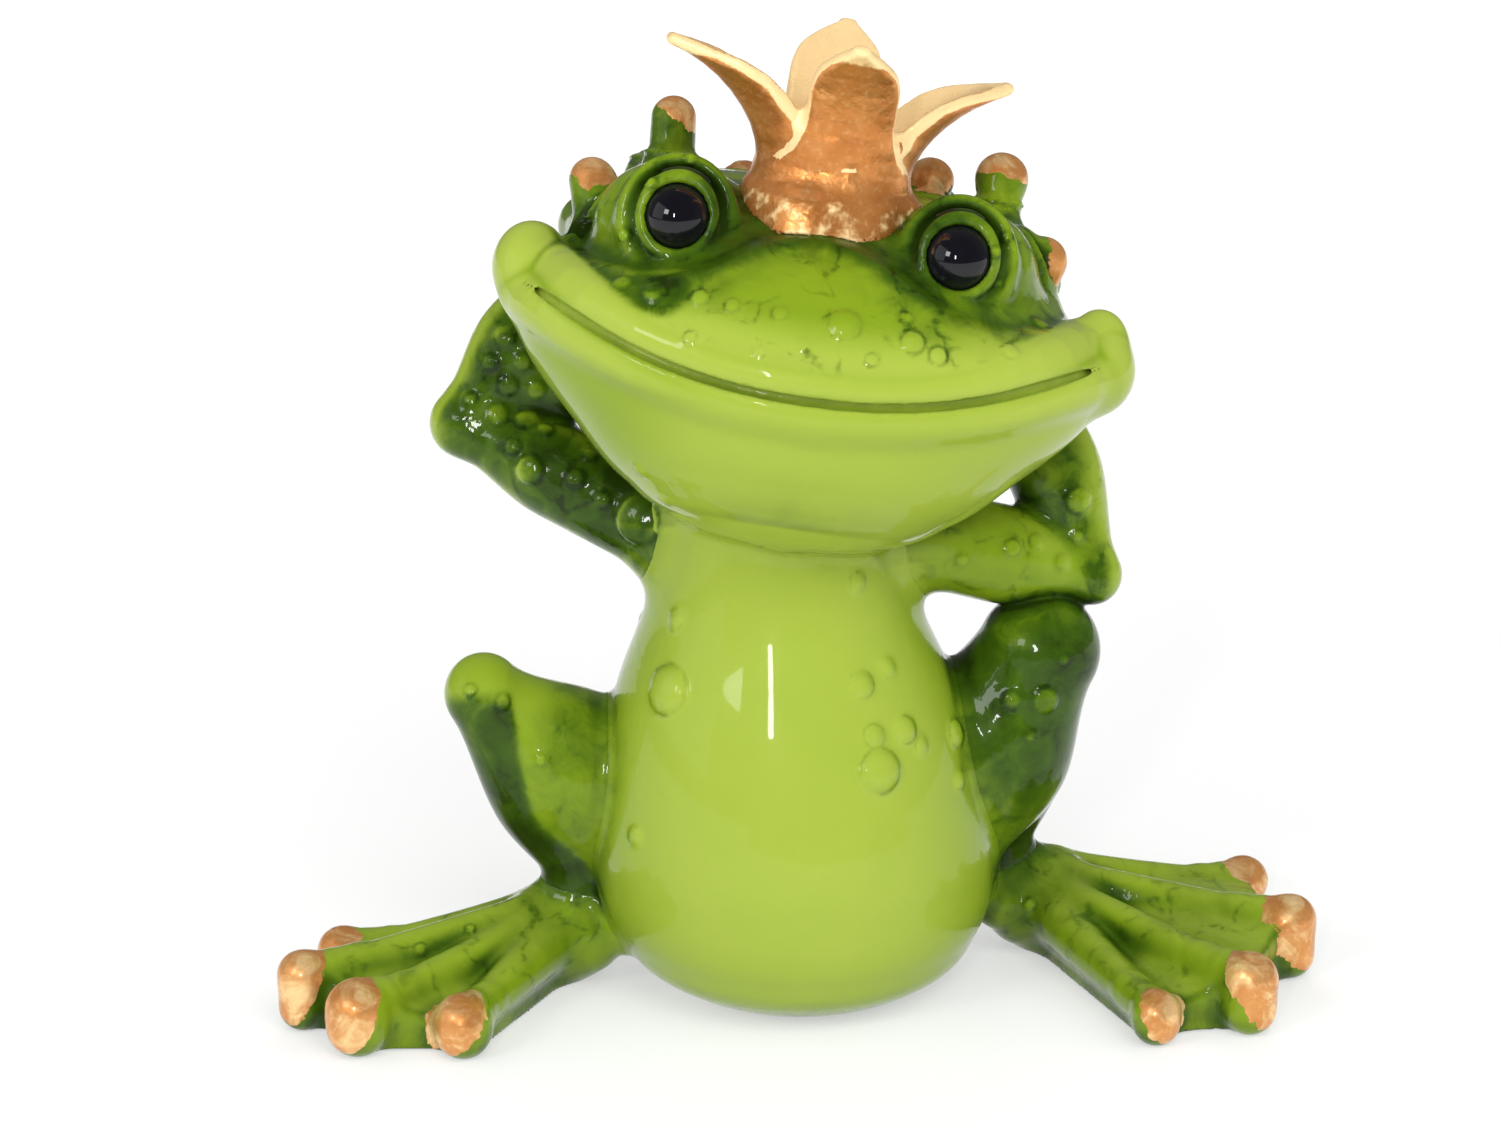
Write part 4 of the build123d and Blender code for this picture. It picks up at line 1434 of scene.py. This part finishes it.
def add_world():
    world = bpy.data.worlds.new("studio")
    bpy.context.scene.world = world
    world.use_nodes = True
    g = Graph(world.node_tree, "Generated")
    path = g.nodes.new("ShaderNodeLightPath").outputs
    ahead = g.node("VectorMath", {0: g.place, 1: ROOM_AHEAD}, "Value", operation="DOT_PRODUCT")
    strength = g.mix(path[GLOSSY_RAY], FILL_STRENGTH, g.span(ahead, *ROOM_FADE, *ROOM_STRENGTHS))
    strength = g.mix(path[CAMERA_RAY], strength, WHITE)
    strength = g.mix(path[CLEAR_RAY], strength, WHITE)
    background = g.find("BACKGROUND")
    g.put(WHITE, background.inputs["Color"])
    g.put(strength, background.inputs["Strength"])


# Lamps: place, target, width, height, power, and whether reflections show it
Lamp = namedtuple("Lamp", "place target width height power glossy")
LAMPS = {
    "key": Lamp((-0.55, -0.65, 0.5), (0, 0, 0.05), 0.24, 0.24, 2.0, True),
    "panel_left": Lamp((-0.86, -0.3, 0.42), (0, 0, 0.06), 0.75, 0.7, 1.4, True),
    "panel_right": Lamp((0.86, -0.3, 0.42), (0, 0, 0.06), 0.75, 0.7, 2.4, False),
    "strip": Lamp((-0.14, -0.75, 0.33), (0, 0, 0.05), 0.045, 0.15, 1.3, True),
    "soft": Lamp((0.25, -0.75, 0.8), (0, 0, 0.05), 0.6, 0.6, 4.6, False),
    "back": Lamp((0, 0.9, 0.9), (0, 0.5, 0), 0.8, 0.6, 2.6, False),
}


def add_lamp(name, lamp):
    data = bpy.data.lights.new(name, "AREA")
    data.shape = "RECTANGLE"
    data.size, data.size_y, data.energy = lamp.width, lamp.height, lamp.power
    made = add_object(name, data)
    made.location = lamp.place
    aim = made.location.copy()
    aim.xyz = lamp.target
    made.rotation_euler = (aim - made.location).to_track_quat("-Z", "Y").to_euler()
    made.visible_glossy = lamp.glossy


def add_camera():
    data = bpy.data.cameras.new("camera")
    data.lens = CAMERA_LENS
    data.sensor_width = SENSOR_WIDTH
    data.clip_start = CAMERA_CLIP
    camera = add_object("camera", data)
    camera.location = CAMERA_PLACE * MM
    camera.rotation_euler = (math.pi / 2 - CAMERA_RISE, 0, 0)
    bpy.context.scene.camera = camera


add_floor()
add_world()
for name, lamp in LAMPS.items():
    add_lamp(name, lamp)
add_camera()
bpy.context.scene.view_settings.view_transform = "Standard"
